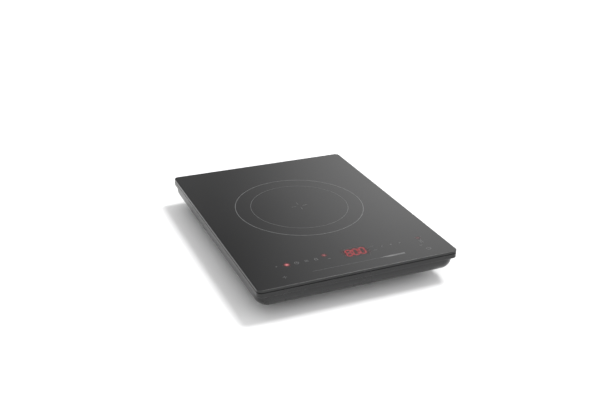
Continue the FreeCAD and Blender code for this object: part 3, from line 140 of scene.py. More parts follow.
def turned(profile, centre, steps=64, loop=False, change=None, along_y=False):
    """A profile (radius, height) turned about its axis: x = r cos a, y = r sin a, z = h.

    A profile that isn't a loop starts and ends on the axis and is closed there by one point each.
    change(x, y, z) may shift the points before they are placed.
    """
    profile = np.asarray(profile, float)
    rings = profile if loop else profile[1:-1]
    angle = np.linspace(0, 2 * np.pi, steps, endpoint=False)
    x = rings[:, :1] * np.cos(angle)
    y = rings[:, :1] * np.sin(angle)
    z = np.repeat(rings[:, 1:], steps, axis=1)
    points = np.stack([x, y, z], axis=2).reshape(-1, 3)
    faces = grid_faces(len(rings), steps, wrap_rows=loop).tolist()
    if not loop:
        low, high = len(points), len(points) + 1
        points = np.vstack([points, [0, 0, profile[0, 1]], [0, 0, profile[-1, 1]]])
        j = np.arange(steps)
        after = (j + 1) % steps
        last = (len(rings) - 1) * steps
        faces += np.stack([np.full(steps, low), after, j], axis=1).tolist()
        faces += np.stack([np.full(steps, high), last + j, last + after], axis=1).tolist()
    if change is not None:
        points = change(points)
    if along_y:
        points = np.stack([points[:, 0], points[:, 2], -points[:, 1]], axis=1)
    return points + np.asarray(centre, float), faces


def rounded_rectangle(half_x, half_y, corner, steps=12):
    """Counter-clockwise outline: four quarter circles of the corner radius, joined by straights."""
    quarter = np.linspace(0, np.pi / 2, steps)
    angle = (quarter[None, :] + np.arange(4)[:, None] * np.pi / 2).ravel()
    sign_x = np.repeat([1, -1, -1, 1], steps)
    sign_y = np.repeat([1, 1, -1, -1], steps)
    return np.stack([sign_x * (half_x - corner) + corner * np.cos(angle),
                     sign_y * (half_y - corner) + corner * np.sin(angle)], axis=1)


def carried(profile, centre, half_x, half_y, corner, loop=False):
    """A profile (inset, height) carried round a rounded rectangle.

    A loop makes a frame; any other profile is capped flat at its two ends.
    """
    plans = [rounded_rectangle(half_x - inset, half_y - inset, max(corner - inset, 0.1 * MM))
             for inset, _ in profile]
    rings = [np.column_stack([plan, np.full(len(plan), height)])
             for plan, (_, height) in zip(plans, profile)]
    cols = len(rings[0])
    points = np.vstack(rings)
    points[:, :2] += np.asarray(centre, float)
    faces = grid_faces(len(rings), cols, wrap_rows=loop).tolist()
    if not loop:
        faces.append(list(range(cols))[::-1])
        faces.append(list(range((len(rings) - 1) * cols, len(rings) * cols)))
    return points, faces


def prisms(polygons, low, high):
    """Flat polygons (count, corners, 2) raised from low to high, each a closed solid."""
    polygons = np.asarray(polygons, float)
    count, corners = polygons.shape[:2]
    flat = polygons.reshape(-1, 2)
    points = np.vstack([np.column_stack([flat, np.full(len(flat), low)]),
                        np.column_stack([flat, np.full(len(flat), high)])])
    start = np.arange(count)[:, None] * corners
    ring = start + np.arange(corners)
    after = start + (np.arange(corners) + 1) % corners
    top = count * corners
    faces = ring[:, ::-1].tolist() + (ring + top).tolist()
    faces += np.stack([ring, after, after + top, ring + top], axis=2).reshape(-1, 4).tolist()
    return points, faces


def strip(path, width, low, high, closed=False):
    """A flat ribbon of one width along a plan path, raised from low to high.

    Each point moves half the width along its mitre: the mean of its two edges' normals, divided by
    the cosine of half the turn between them, but by no less than least_cosine.
    """
    least_cosine = 0.4
    path = np.asarray(path, float)
    step = (np.roll(path, -1, axis=0) if closed else path[1:]) - (path if closed else path[:-1])
    normal = np.stack([-step[:, 1], step[:, 0]], axis=1)
    normal /= np.linalg.norm(normal, axis=1, keepdims=True)
    if closed:
        before, after = np.roll(normal, 1, axis=0), normal
    else:
        before, after = np.vstack([normal[:1], normal]), np.vstack([normal, normal[-1:]])
    mitre = before + after
    mitre /= np.linalg.norm(mitre, axis=1, keepdims=True)
    mitre /= np.clip((mitre * after).sum(axis=1, keepdims=True), least_cosine, 1)
    left, right = path + mitre * width / 2, path - mitre * width / 2
    section = [(left, low), (left, high), (right, high), (right, low)]
    points = np.stack([np.column_stack([side, np.full(len(path), level)])
                       for side, level in section], axis=1).reshape(-1, 3)
    faces = grid_faces(len(path), 4, wrap_rows=closed).tolist()
    if not closed:
        last = (len(path) - 1) * 4
        faces += [[0, 1, 2, 3], [last + 3, last + 2, last + 1, last]]
    return points, faces


def gathered(parts):
    """Several (points, faces) solids put together as one list of points and faces."""
    points, faces, start = [], [], 0
    for part_points, part_faces in parts:
        points.append(part_points)
        faces += [[start + corner for corner in face] for face in part_faces]
        start += len(part_points)
    return np.vstack(points), faces


def arc(centre, radius, first, last, steps=28):
    """Points on a circle from the first angle to the last, in degrees."""
    angle = np.radians(np.linspace(first, last, steps))
    return np.asarray(centre) + radius * np.column_stack([np.cos(angle), np.sin(angle)])


def circle(centre, radius, steps=48):
    """Points once round a circle, the first not repeated."""
    angle = np.linspace(0, 2 * np.pi, steps, endpoint=False)
    return np.asarray(centre) + radius * np.column_stack([np.cos(angle), np.sin(angle)])


def new_piece(name, solid, slot, material=None, body="root", replaces=(), values=None):
    """Put a solid into a mesh object, outward faces, rounded shading with sharp corners kept.

    It takes its slot's own finish unless another material is given.
    """
    points, faces = solid
    mesh = bpy.data.meshes.new(name)
    mesh.from_pydata(points.tolist(), [], faces)
    work = bmesh.new()
    work.from_mesh(mesh)
    bmesh.ops.recalc_face_normals(work, faces=work.faces)
    work.to_mesh(mesh)
    work.free()
    mesh.shade_smooth()
    mesh.set_sharp_from_angle(angle=SMOOTH_ANGLE)
    for label, numbers in (values or {}).items():
        layer = mesh.attributes.new(label, "FLOAT", "POINT")
        layer.data.foreach_set("value", np.asarray(numbers, np.float32))
    mesh.materials.append(material or bpy.data.materials[slot])
    if mesh.validate():
        raise RuntimeError(f"{name} has faces that Blender had to mend")
    piece = bpy.data.objects.new(name, mesh)
    bpy.context.scene.collection.objects.link(piece)
    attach(piece, body)
    if replaces:
        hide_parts(*replaces)
    return piece


# ---------------------------------------------------------------- shared shader groups

def fill(tree, node, inputs):
    """Link or set a node's inputs, each given by its name or number."""
    for label, value in inputs.items():
        if isinstance(value, bpy.types.NodeSocket):
            tree.links.new(value, node.inputs[label])
        else:
            node.inputs[label].default_value = value


def add(tree, kind, inputs=None, **settings):
    """Add a node with its settings, and link or set its inputs."""
    made = tree.nodes.new(kind)
    for label, value in settings.items():
        setattr(made, label, value)
    fill(tree, made, inputs or {})
    return made


def maths(tree, operation, *values):
    """The result of a Math node on two or three values."""
    return add(tree, "ShaderNodeMath", dict(enumerate(values)), operation=operation).outputs[0]


def ramp(tree, value, low, high, to_low=0.0, to_high=1.0):
    """A smooth step from one range to another."""
    return add(tree, "ShaderNodeMapRange",
               {"Value": value, "From Min": low, "From Max": high,
                "To Min": to_low, "To Max": to_high},
               interpolation_type="SMOOTHSTEP").outputs["Result"]


def noise(tree, scale, detail=3.0, distortion=0.0):
    """Noise over the object's own coordinates."""
    place = add(tree, "ShaderNodeTexCoord").outputs["Object"]
    return add(tree, "ShaderNodeTexNoise",
               {"Vector": place, "Scale": scale, "Detail": detail,
                "Distortion": distortion}).outputs["Fac"]


def mixed(tree, factor, first, second):
    """Two colours mixed by a factor."""
    return add(tree, "ShaderNodeMix", {0: factor, 6: first, 7: second},
               data_type="RGBA").outputs[2]


def new_group(name, inputs, output, kind="NodeSocketFloat"):
    """A node group with named inputs and one output; returns its tree, inputs and a setter."""
    tree = bpy.data.node_groups.new(name, "ShaderNodeTree")
    for label, default in inputs.items():
        colour = isinstance(default, tuple)
        socket = tree.interface.new_socket(
            label, in_out="INPUT",
            socket_type="NodeSocketColor" if colour else "NodeSocketFloat")
        socket.default_value = default
    tree.interface.new_socket(output, in_out="OUTPUT", socket_type=kind)
    given = tree.nodes.new("NodeGroupInput").outputs
    end = tree.nodes.new("NodeGroupOutput").inputs[output]
    return tree, given, lambda value: tree.links.new(value, end)


def cloudy_tint():
    """Two tints mixed by soft clouds, for moulding flow and uneven pigment."""
    tree, given, put = new_group("cloudy_tint", {
        "Tint": (0.5, 0.5, 0.5, 1), "Second Tint": (0.4, 0.4, 0.4, 1), "Scale": 30.0},
        "Color", "NodeSocketColor")
    cloud = ramp(tree, noise(tree, given["Scale"], 5.0, 0.4), 0.32, 0.68)
    put(mixed(tree, cloud, given["Tint"], given["Second Tint"]))
    return tree


def hand_smudges():
    """Roughness from clean to smeared, in broad patches broken by finer streaks."""
    tree, given, put = new_group("hand_smudges", {
        "Clean": 0.1, "Smeared": 0.3, "Scale": 20.0}, "Roughness")
    patch = ramp(tree, noise(tree, given["Scale"], 4.0, 1.2), 0.45, 0.72)
    fine = ramp(tree, noise(tree, maths(tree, "MULTIPLY", given["Scale"], 9.0), 3.0), 0.3, 0.7)
    amount = maths(tree, "MULTIPLY", patch, maths(tree, "MULTIPLY_ADD", fine, 0.5, 0.5))
    span = maths(tree, "SUBTRACT", given["Smeared"], given["Clean"])
    put(maths(tree, "MULTIPLY_ADD", amount, span, given["Clean"]))
    return tree


def fine_grain():
    """Height of a moulded surface: rounded cells from a spark-eroded mould over fine noise."""
    tree, given, put = new_group("fine_grain", {"Scale": 1500.0, "Cells": 0.5}, "Height")
    place = add(tree, "ShaderNodeTexCoord").outputs["Object"]
    cells = add(tree, "ShaderNodeTexVoronoi",
                {"Vector": place, "Scale": given["Scale"]}).outputs["Distance"]
    fuzz = noise(tree, given["Scale"], 2.0)
    put(maths(tree, "MULTIPLY_ADD", cells, given["Cells"], fuzz))
    return tree


def edge_wear():
    """Mask of worn edges: where the surface turns within a small radius, broken by noise."""
    tree, given, put = new_group("edge_wear", {"Radius": 0.0006, "Amount": 0.5}, "Mask")
    rounded = add(tree, "ShaderNodeBevel", {"Radius": given["Radius"]}, samples=4)
    flat = add(tree, "ShaderNodeNewGeometry").outputs["Normal"]
    facing = add(tree, "ShaderNodeVectorMath",
                 {0: rounded.outputs["Normal"], 1: flat}, operation="DOT_PRODUCT").outputs["Value"]
    turn = ramp(tree, facing, 0.995, 0.85)
    broken = ramp(tree, noise(tree, 260.0, 4.0), 0.35, 0.65)
    put(maths(tree, "MULTIPLY", maths(tree, "MULTIPLY", turn, broken), given["Amount"]))
    return tree


def settled_dust():
    """Mask of dust on faces that look up, in fine specks and soft drifts."""
    tree, given, put = new_group("settled_dust", {"Amount": 0.2, "Scale": 700.0}, "Mask")
    normal = add(tree, "ShaderNodeNewGeometry").outputs["Normal"]
    up = add(tree, "ShaderNodeSeparateXYZ", {"Vector": normal}).outputs["Z"]
    specks = ramp(tree, noise(tree, given["Scale"], 2.0), 0.60, 0.78)
    drift = ramp(tree, noise(tree, 14.0, 3.0), 0.35, 0.7)
    lying = maths(tree, "MULTIPLY", maths(tree, "MAXIMUM", up, 0.0), drift)
    put(maths(tree, "MULTIPLY", maths(tree, "MULTIPLY", lying, specks), given["Amount"]))
    return tree


GROUPS = {}


def placed(tree, name, **inputs):
    """A shared group placed in a material; returns its one output."""
    values = {label.replace("_", " "): value for label, value in inputs.items()}
    return add(tree, "ShaderNodeGroup", values, node_tree=GROUPS[name]).outputs[0]


def opaque(colour):
    """A colour with full alpha."""
    return (*colour[:3], 1.0)


def blank_material(name):
    """A material with only a Principled shader; returns it, its tree and the shader."""
    made = bpy.data.materials.new(name)
    made.use_nodes = True
    tree = made.node_tree
    return made, tree, tree.nodes["Principled BSDF"]


def moulded(name, tint, second, clean, smeared, cloud=30.0, grain=1500.0, cells=0.5,
            relief=0.02, metal=0.0, worn=None, wear=0.3, dust=0.1, gloss=0.5):
    """A finish from the shared groups: clouded tint, smudged roughness, grain, worn edges, dust."""
    made, tree, shader = blank_material(name)
    base = placed(tree, "cloudy_tint", Tint=opaque(tint), Second_Tint=opaque(second), Scale=cloud)
    rough = placed(tree, "hand_smudges", Clean=clean, Smeared=smeared, Scale=cloud)
    if worn is not None:
        mask = placed(tree, "edge_wear", Amount=wear)
        base = mixed(tree, mask, base, opaque(worn))
    lint = placed(tree, "settled_dust", Amount=dust)
    base = mixed(tree, lint, base, LINT)
    lint_roughness = 0.4
    rough = maths(tree, "MULTIPLY_ADD", lint, lint_roughness, rough)
    height = placed(tree, "fine_grain", Scale=grain, Cells=cells)
    bump = add(tree, "ShaderNodeBump", {"Height": height, "Strength": 0.6,
                                        "Distance": relief * MM})
    fill(tree, shader, {"Base Color": base, "Roughness": rough, "Metallic": metal,
                        "Normal": bump.outputs["Normal"], "Specular IOR Level": gloss})
    return made


def black_glass(colours):
    """Polished black ceramic glass; its ground edge, marked by an attribute, is greyer and matt."""
    made, tree, shader = blank_material("black_ceramic_glass")
    second, lint_tint = (0.0034, 0.0034, 0.0037, 1), (0.35, 0.34, 0.33, 1)
    ground_tint, ground_roughness = (0.010, 0.0105, 0.011, 1), 0.26
    ground = add(tree, "ShaderNodeAttribute", attribute_name="ground").outputs["Fac"]
    tint = placed(tree, "cloudy_tint", Tint=opaque(colours.glass),
                  Second_Tint=second, Scale=9.0)
    lint = placed(tree, "settled_dust", Amount=0.05, Scale=1400.0)
    tint = mixed(tree, lint, tint, lint_tint)
    tint = mixed(tree, ground, tint, ground_tint)
    rough = placed(tree, "hand_smudges", Clean=0.035, Smeared=0.085, Scale=11.0)
    rough = maths(tree, "MULTIPLY_ADD", ground, ground_roughness, rough)
    height = noise(tree, 16.0, 1.0)
    bump = add(tree, "ShaderNodeBump", {"Height": height, "Strength": 0.15,
                                        "Distance": 0.05 * MM})
    fill(tree, shader, {"Base Color": tint, "Roughness": rough, "IOR": 1.5,
                        "Normal": bump.outputs["Normal"]})
    return made


def fired_print(colours):
    """Grey ceramic ink fired on the glass, thinner in places."""
    return moulded("fired_print", colours.print_grey, [0.7 * c for c in colours.print_grey],
                   0.30, 0.42, cloud=120.0, grain=4000.0, relief=0.006, dust=0.03)


def red_light(name, colours, strength, core):
    """Light seen through dark glass: its attribute glow sets how much shows, and how hot it is."""
    made, tree, shader = blank_material(name)
    glow = add(tree, "ShaderNodeAttribute", attribute_name="glow").outputs["Fac"]
    uneven = ramp(tree, noise(tree, 420.0, 2.0), 0.2, 0.8, 0.82, 1.0)
    shown = maths(tree, "MULTIPLY", glow, uneven)
    lit = mixed(tree, shown, opaque([0.35 * c for c in colours.light_red]), opaque(core))
    base = placed(tree, "cloudy_tint", Tint=(0.03, 0.002, 0.003, 1),
                  Second_Tint=(0.02, 0.001, 0.002, 1), Scale=200.0)
    rough = placed(tree, "hand_smudges", Clean=0.08, Smeared=0.16, Scale=60.0)
    fill(tree, shader, {"Base Color": base, "Roughness": rough, "Alpha": shown,
                        "Emission Color": lit, "Emission Strength": strength})
    return made


FINISHES = {
    # slot: tint, second tint, clean, smeared, then what differs from an ordinary moulding
    "silicone_black": ((0.012, 0.012, 0.012), (0.018, 0.018, 0.018), 0.55, 0.7,
                       {"dust": 0.1, "gloss": 0.1}),
    "shell_plastic": ((0.005, 0.005, 0.0053), (0.0065, 0.0065, 0.0068), 0.24, 0.33,
                      {"cloud": 22.0, "grain": 1800.0, "relief": 0.010, "wear": 0.2,
                       "worn": (0.030, 0.030, 0.030), "gloss": 0.46}),
    "foot_rubber": ((0.022, 0.022, 0.022), (0.030, 0.029, 0.028), 0.70, 0.85,
                    {"grain": 2600.0, "relief": 0.03, "dust": 0.25}),
    "gland_rubber": ((0.016, 0.016, 0.016), (0.022, 0.022, 0.022), 0.55, 0.7,
                     {"grain": 2600.0, "relief": 0.02}),
    "screw_steel": ((0.50, 0.50, 0.52), (0.38, 0.38, 0.39), 0.28, 0.45,
                    {"metal": 1.0, "cloud": 320.0, "relief": 0.01, "worn": (0.7, 0.7, 0.7)}),
    "carrier_plastic": ((0.62, 0.60, 0.55), (0.54, 0.52, 0.47), 0.45, 0.6, {"dust": 0.2}),
    "coil_copper": ((0.72, 0.30, 0.13), (0.56, 0.21, 0.08), 0.28, 0.4,
                    {"metal": 1.0, "cloud": 300.0, "grain": 4500.0, "relief": 0.06}),
    "ferrite": ((0.045, 0.045, 0.048), (0.075, 0.075, 0.078), 0.6, 0.75, {"relief": 0.03}),
    "mica": ((0.55, 0.47, 0.33), (0.68, 0.60, 0.45), 0.35, 0.5, {"cloud": 90.0}),
    "spring_steel": ((0.58, 0.58, 0.60), (0.46, 0.46, 0.48), 0.2, 0.35,
                     {"metal": 1.0, "cloud": 250.0, "relief": 0.008}),
    "board_laminate": ((0.020, 0.110, 0.040), (0.028, 0.150, 0.055), 0.35, 0.45,
                       {"cloud": 110.0, "relief": 0.02}),
    "heatsink_aluminium": ((0.66, 0.67, 0.68), (0.58, 0.59, 0.60), 0.3, 0.45,
                           {"metal": 1.0, "cloud": 140.0, "worn": (0.8, 0.8, 0.8)}),
    "chip_black": ((0.018, 0.018, 0.018), (0.028, 0.028, 0.028), 0.45, 0.6, {"relief": 0.02}),
    "capacitor_box": ((0.55, 0.34, 0.05), (0.62, 0.40, 0.08), 0.4, 0.5, {}),
    "terminal_plastic": ((0.46, 0.46, 0.44), (0.54, 0.54, 0.52), 0.4, 0.55, {}),
    "terminal_brass": ((0.72, 0.52, 0.22), (0.60, 0.42, 0.17), 0.25, 0.4,
                       {"metal": 1.0, "cloud": 260.0}),
    "fuse_glass": ((0.62, 0.64, 0.62), (0.52, 0.54, 0.52), 0.08, 0.2, {"cloud": 150.0}),
    "fan_plastic": ((0.024, 0.024, 0.025), (0.032, 0.032, 0.033), 0.35, 0.48,
                    {"worn": (0.07, 0.07, 0.07), "dust": 0.35}),
    "display_red": ((0.30, 0.015, 0.020), (0.42, 0.030, 0.035), 0.2, 0.3, {"cloud": 200.0}),
    "cable_insulation": ((0.45, 0.05, 0.04), (0.36, 0.04, 0.03), 0.45, 0.6, {"cloud": 160.0}),
}


# ---------------------------------------------------------------- operators

class CooktopStep(Operator):
    """What the cooktop's operators share."""
    bl_options = {"REGISTER", "UNDO"}


class COOKTOP_OT_finishes(CooktopStep):
    """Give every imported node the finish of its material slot."""
    bl_idname = "cooktop.finishes"
    bl_label = "Finishes"

    def execute(self, context):
        for build in (cloudy_tint, hand_smudges, fine_grain, edge_wear, settled_dust):
            GROUPS[build.__name__] = build()
        made = {}
        colours = context.scene.cooktop_colours
        shell, lighter = tuple(colours.case), 1.3
        for slot, (tint, second, clean, smeared, more) in FINISHES.items():
            if slot == "shell_plastic":
                tint, second = shell, tuple(lighter * part for part in shell)
            made[slot] = moulded(slot, tint, second, clean, smeared, **more)
        made["ceramic_glass"] = black_glass(colours)
        slots = {row["node"]: row["material_slot"] for row in frame["record"]["subparts"]}
        for name, item in frame["nodes"].items():
            item.data.materials.clear()
            item.data.materials.append(made[slots[name]])
        return {"FINISHED"}


class COOKTOP_OT_glass_plate(CooktopStep):
    """Ceramic glass plate with a rounded, ground edge and a small lower chamfer."""
    bl_idname = "cooktop.glass_plate"
    bl_label = "Glass Plate"

    def execute(self, context):
        sizes = context.scene.cooktop_sizes
        radius, chamfer, blend = sizes.ground_edge, 0.8 * MM, 0.4 * MM
        turn = np.linspace(0, np.pi / 2, 9)
        rounded = np.column_stack([radius * (1 - np.cos(turn)),
                                   GLASS_TOP - radius + radius * np.sin(turn)])
        profile = np.vstack([[2 * chamfer, GLASS_LOW.z], [chamfer, GLASS_LOW.z],
                             [0, GLASS_LOW.z + chamfer], rounded,
                             [radius + blend, GLASS_TOP]])
        half = (GLASS_HIGH - GLASS_LOW) / 2
        middle = (GLASS_HIGH + GLASS_LOW) / 2
        solid = carried(profile, middle.xy, half.x, half.y, sizes.plate_corner)
        # how ground each ring of the profile is: the rounded edge wholly, the flat faces not
        on_edge = np.array([0, 0, 0, 0.3] + [1.0] * (len(turn) - 2) + [0.35, 0.0])
        new_piece("glass_plate", solid, "ceramic_glass",
                  bpy.data.materials["black_ceramic_glass"], replaces=["glass_top"],
                  values={"ground": np.repeat(on_edge, len(solid[0]) // len(profile))})
        return {"FINISHED"}


class COOKTOP_OT_silicone_bead(CooktopStep):
    """Silicone bead under the glass, pressed out into the seam with a hollow outer face.

    The outer face's inset over its height h from 0 to 1 is a shallow arc, 4 h (1 - h) times the
    hollow's depth.
    """
    bl_idname = "cooktop.silicone_bead"
    bl_label = "Silicone Bead"

    def execute(self, context):
        sizes = context.scene.cooktop_sizes
        hollow, width = 0.25 * MM, 5.9 * MM
        low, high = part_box("glass_seal")
        half, middle = (high - low) / 2, (high + low) / 2
        climb = np.linspace(0, 1, 7)
        face = np.column_stack([hollow * 4 * climb * (1 - climb),
                                low.z + climb * (high.z - low.z)])
        inside = [[width, high.z], [width, low.z]]
        solid = carried(np.vstack([face, inside]), middle.xy, half.x, half.y,
                        sizes.plate_corner - (GLASS_HIGH.x - high.x), loop=True)
        new_piece("silicone_bead", solid, "silicone_black", replaces=["glass_seal"])
        return {"FINISHED"}


def on_glass(x, from_front):
    """A place on the plate: across from its middle and in from its front edge, in millimetres."""
    return np.array([x * MM, FRONT_EDGE + from_front * MM])


def print_levels(sizes):
    """Lowest and highest level of a print: from just inside the glass to its thickness above."""
    return GLASS_TOP - PRINT_SEAT, GLASS_TOP + sizes.print_height


class COOKTOP_OT_zone_print(CooktopStep):
    """Printed cooking zone: two thin rings and four short marks round its centre."""
    bl_idname = "cooktop.zone_print"
    bl_label = "Cooking Zone Print"

    def execute(self, context):
        sizes = context.scene.cooktop_sizes
        inner_radius, outer_width, inner_width = 70 * MM, 0.9 * MM, 0.5 * MM
        mark_out, mark_in = 12 * MM, 5 * MM
        low, high = print_levels(sizes)
        sheet_low, sheet_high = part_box("mica_sheet")
        centre = np.array(((sheet_low + sheet_high) / 2).xy)
        ink = fired_print(context.scene.cooktop_colours)
        parts = [strip(circle(centre, radius, 160), width, low, high, closed=True)
                 for radius, width in ((sizes.zone_radius, outer_width),
                                       (inner_radius, inner_width))]
        for side in ((1, 0), (-1, 0), (0, 1), (0, -1)):
            ray = np.array(side, float)
            parts.append(strip([centre + ray * mark_out, centre + ray * mark_in],
                               sizes.line_width, low, high))
        new_piece("zone_print", gathered(parts), "ceramic_glass", ink)
        return {"FINISHED"}


def symbol_paths(kind, size):
    """Plan paths of a generic key symbol about its own middle: (points, closed) pairs."""
    s = size / 2
    shackle = np.vstack([[(0.45 * s, 0.15 * s)], arc((0, 0.5 * s), 0.45 * s, 0, 180, 14),
                         [(-0.45 * s, 0.15 * s)]])
    dash = ([(-s, 0), (s, 0)], False)
    return {
        "power": [(arc((0, 0), s, 125, 415), False), ([(0, 0.1 * s), (0, 1.25 * s)], False)],
        "lock": [([(-0.7 * s, -s), (0.7 * s, -s), (0.7 * s, 0.1 * s), (-0.7 * s, 0.1 * s)], True),
                 (shackle, False)],
        "clock": [(circle((0, 0), s, 40), True), ([(0, 0.6 * s), (0, 0), (0.45 * s, 0)], False)],
        "menu": [([(-s, level * s), (s, level * s)], False) for level in (-0.7, 0, 0.7)],
        "plus": [dash, ([(0, 0.25 * s), (0, s)], False), ([(0, -0.25 * s), (0, -s)], False)],
        "dash": [dash],
        "bars": [([(level * s, -s), (level * s, s)], False) for level in (-0.35, 0.35)],
        "slant": [([(-0.5 * s, -0.8 * s), (0.5 * s, 0.8 * s)], False)],
        "dot": [(circle((0, 0), 0.35 * s, 16), True)],
    }[kind]


# symbol, across from the middle, in from the front edge, size, all in millimetres
KEY_SYMBOLS = (
    ("dot", -97.5, 47, 4.0), ("clock", -70, 47, 5.4), ("menu", -56.3, 47, 4.8),
    ("lock", -43.4, 47, 5.2), ("dash", -27, 42, 4.0), ("dash", 39, 51.6, 4.6),
    ("dash", 39, 40.9, 5.0), ("slant", 52, 47, 5.0), ("dot", 65, 47, 4.6),
    ("dot", 78.6, 47, 4.6), ("bars", 107, 40, 7.5), ("dash", 101.5, 30.5, 4.4),
    ("power", 106.3, 19.5, 6.0), ("plus", -97.4, 19.6, 5.4),
)


class COOKTOP_OT_key_prints(CooktopStep):
    """Printed key symbols and the slider's line, as thin closed ribbons of ink."""
    bl_idname = "cooktop.key_prints"
    bl_label = "Key Prints"

    def execute(self, context):
        sizes = context.scene.cooktop_sizes
        low, high = print_levels(sizes)
        parts = []
        for kind, x, from_front, size in KEY_SYMBOLS:
            place = on_glass(x, from_front)
            for path, closed in symbol_paths(kind, size * MM):
                parts.append(strip(np.asarray(path, float) + place, sizes.line_width,
                                   low, high, closed))
        ink = bpy.data.materials["fired_print"]
        new_piece("key_prints", gathered(parts), "ceramic_glass", ink)
        # the slider's line, in millimetres: thin from its start, then widening over a short run
        start, end, widens_at, run, line_front, thin, added = -60, 71, 36, 9, 20, 0.35, 3.0
        across = np.linspace(start, end, 40)
        wide = thin + added * np.clip((across - widens_at) / run, 0, 1)
        line = np.array([on_glass(x, line_front) for x in across])
        left, right = line.copy(), line.copy()
        left[:, 1] += wide * MM / 2
        right[:, 1] -= wide * MM / 2
        new_piece("slider_print", prisms([np.vstack([right, left[::-1]])], low, high),
                  "ceramic_glass", ink)
        return {"FINISHED"}


# the seven bars of a digit: middle across, middle up (halves of the digit), and which lie flat
BARS = {"a": (0, 1, True), "b": (1, 0.5, False), "c": (1, -0.5, False), "d": (0, -1, True),
        "e": (-1, -0.5, False), "f": (-1, 0.5, False), "g": (0, 0, True)}
LIT_BARS = {"0": "abcdef", "8": "abcdefg"}


def digit_bars(text, centre, height):
    """Hexagonal bars of slanted seven-bar digits.

    A bar is a hexagon along its length with ends cut at 45 degrees; then every point shifts
    across by the tangent of the slant times its height above the digit's middle.
    """
    width, thick, pitch = 0.46 * height, 0.14 * height, 0.65 * height
    gap, slant = 0.35 * thick, math.radians(8)
    polygons = []
    for place, sign in enumerate(text):
        middle_x = (place - (len(text) - 1) / 2) * pitch
        for bar in LIT_BARS[sign]:
            across, up, flat = BARS[bar]
            length = (width if flat else height / 2) - gap
            h, t = length / 2, thick / 2
            shape = np.array([(-h, 0), (-h + t, -t), (h - t, -t), (h, 0), (h - t, t), (-h + t, t)])
            if not flat:
                shape = np.column_stack([-shape[:, 1], shape[:, 0]])
            polygons.append(shape + (middle_x + across * width / 2, up * height / 2))
    polygons = np.array(polygons)
    polygons[..., 0] += math.tan(slant) * polygons[..., 1]
    return polygons + centre


class COOKTOP_OT_display(CooktopStep):
    """Lit digits seen through the glass, with a soft red glow round them.

    The glow fades to nothing at its rim: it grows with the share of the way in, to a power.
    """
    bl_idname = "cooktop.display"
    bl_label = "Display"

    def execute(self, context):
        sizes, colours = context.scene.cooktop_sizes, context.scene.cooktop_colours
        low, high = GLASS_TOP - PRINT_SEAT, GLASS_TOP + 0.05 * MM
        aside, from_front = 2.2 * MM, 45.8 * MM
        display_low, display_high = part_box("display_module")
        centre = np.array([(display_low.x + display_high.x) / 2 + aside, FRONT_EDGE + from_front])
        bars = prisms(digit_bars("800", centre, sizes.digit_height), low, high)
        hot = red_light("digit_light", colours, 0.48, (0.78, 0.030, 0.045))
        new_piece("display_digits", bars, "display_red", hot,
                  values={"glow": np.ones(len(bars[0]))})
        half_x, half_y, corner, fade_run, rings = 22.5 * MM, 14.5 * MM, 12 * MM, 8.5 * MM, 12
        halo_top, strongest, fade_power = GLASS_TOP + 0.03 * MM, 0.42, 1.6
        inset = np.linspace(0, fade_run, rings)
        lens = np.column_stack([inset, np.full(rings, halo_top)])
        halo = carried(np.vstack([[0, GLASS_TOP - LIGHT_SEAT], lens]), centre, half_x, half_y,
                       corner)
        fade = np.concatenate([[0], strongest * np.linspace(0, 1, rings) ** fade_power])
        glow = red_light("halo_light", colours, 0.27, (0.42, 0.006, 0.012))
        new_piece("display_glow", halo, "display_red", glow,
                  values={"glow": np.repeat(fade, len(halo[0]) // len(fade))})
        return {"FINISHED"}


class COOKTOP_OT_indicator_lights(CooktopStep):
    """Indicator lights seen through the glass: a hot middle that fades outwards.

    The glow is (1 - share of the way out), to a power.
    """
    bl_idname = "cooktop.indicator_lights"
    bl_label = "Indicator Lights"

    def execute(self, context):
        # name, across from the middle, in from the front edge in millimetres, and power
        lights = (("light_left", -83.5, 47, 1.0), ("light_middle", -29.5, 52.4, 0.7),
                  ("light_right", 108, 50, 0.4))
        rings, reach, strength, core, fade_power = 12, 6.0 * MM, 1.5, (1.0, 0.32, 0.34), 1.9
        low, top = GLASS_TOP - LIGHT_SEAT, GLASS_TOP + 0.02 * MM
        back = np.linspace(0, reach, rings)[::-1]
        profile = np.vstack([[0, low], [reach, low],
                             np.column_stack([back[:-1], np.full(rings - 1, top)]), [0, top]])
        for name, x, from_front, power in lights:
            place = on_glass(x, from_front)
            solid = turned(profile, (*place, 0), 40)
            share = np.hypot(*(solid[0][:, :2] - place).T) / reach
            light = red_light(name, context.scene.cooktop_colours, strength * power, core)
            new_piece(name, solid, "display_red", light,
                      values={"glow": np.clip(1 - share, 0, 1) ** fade_power * power})
        return {"FINISHED"}


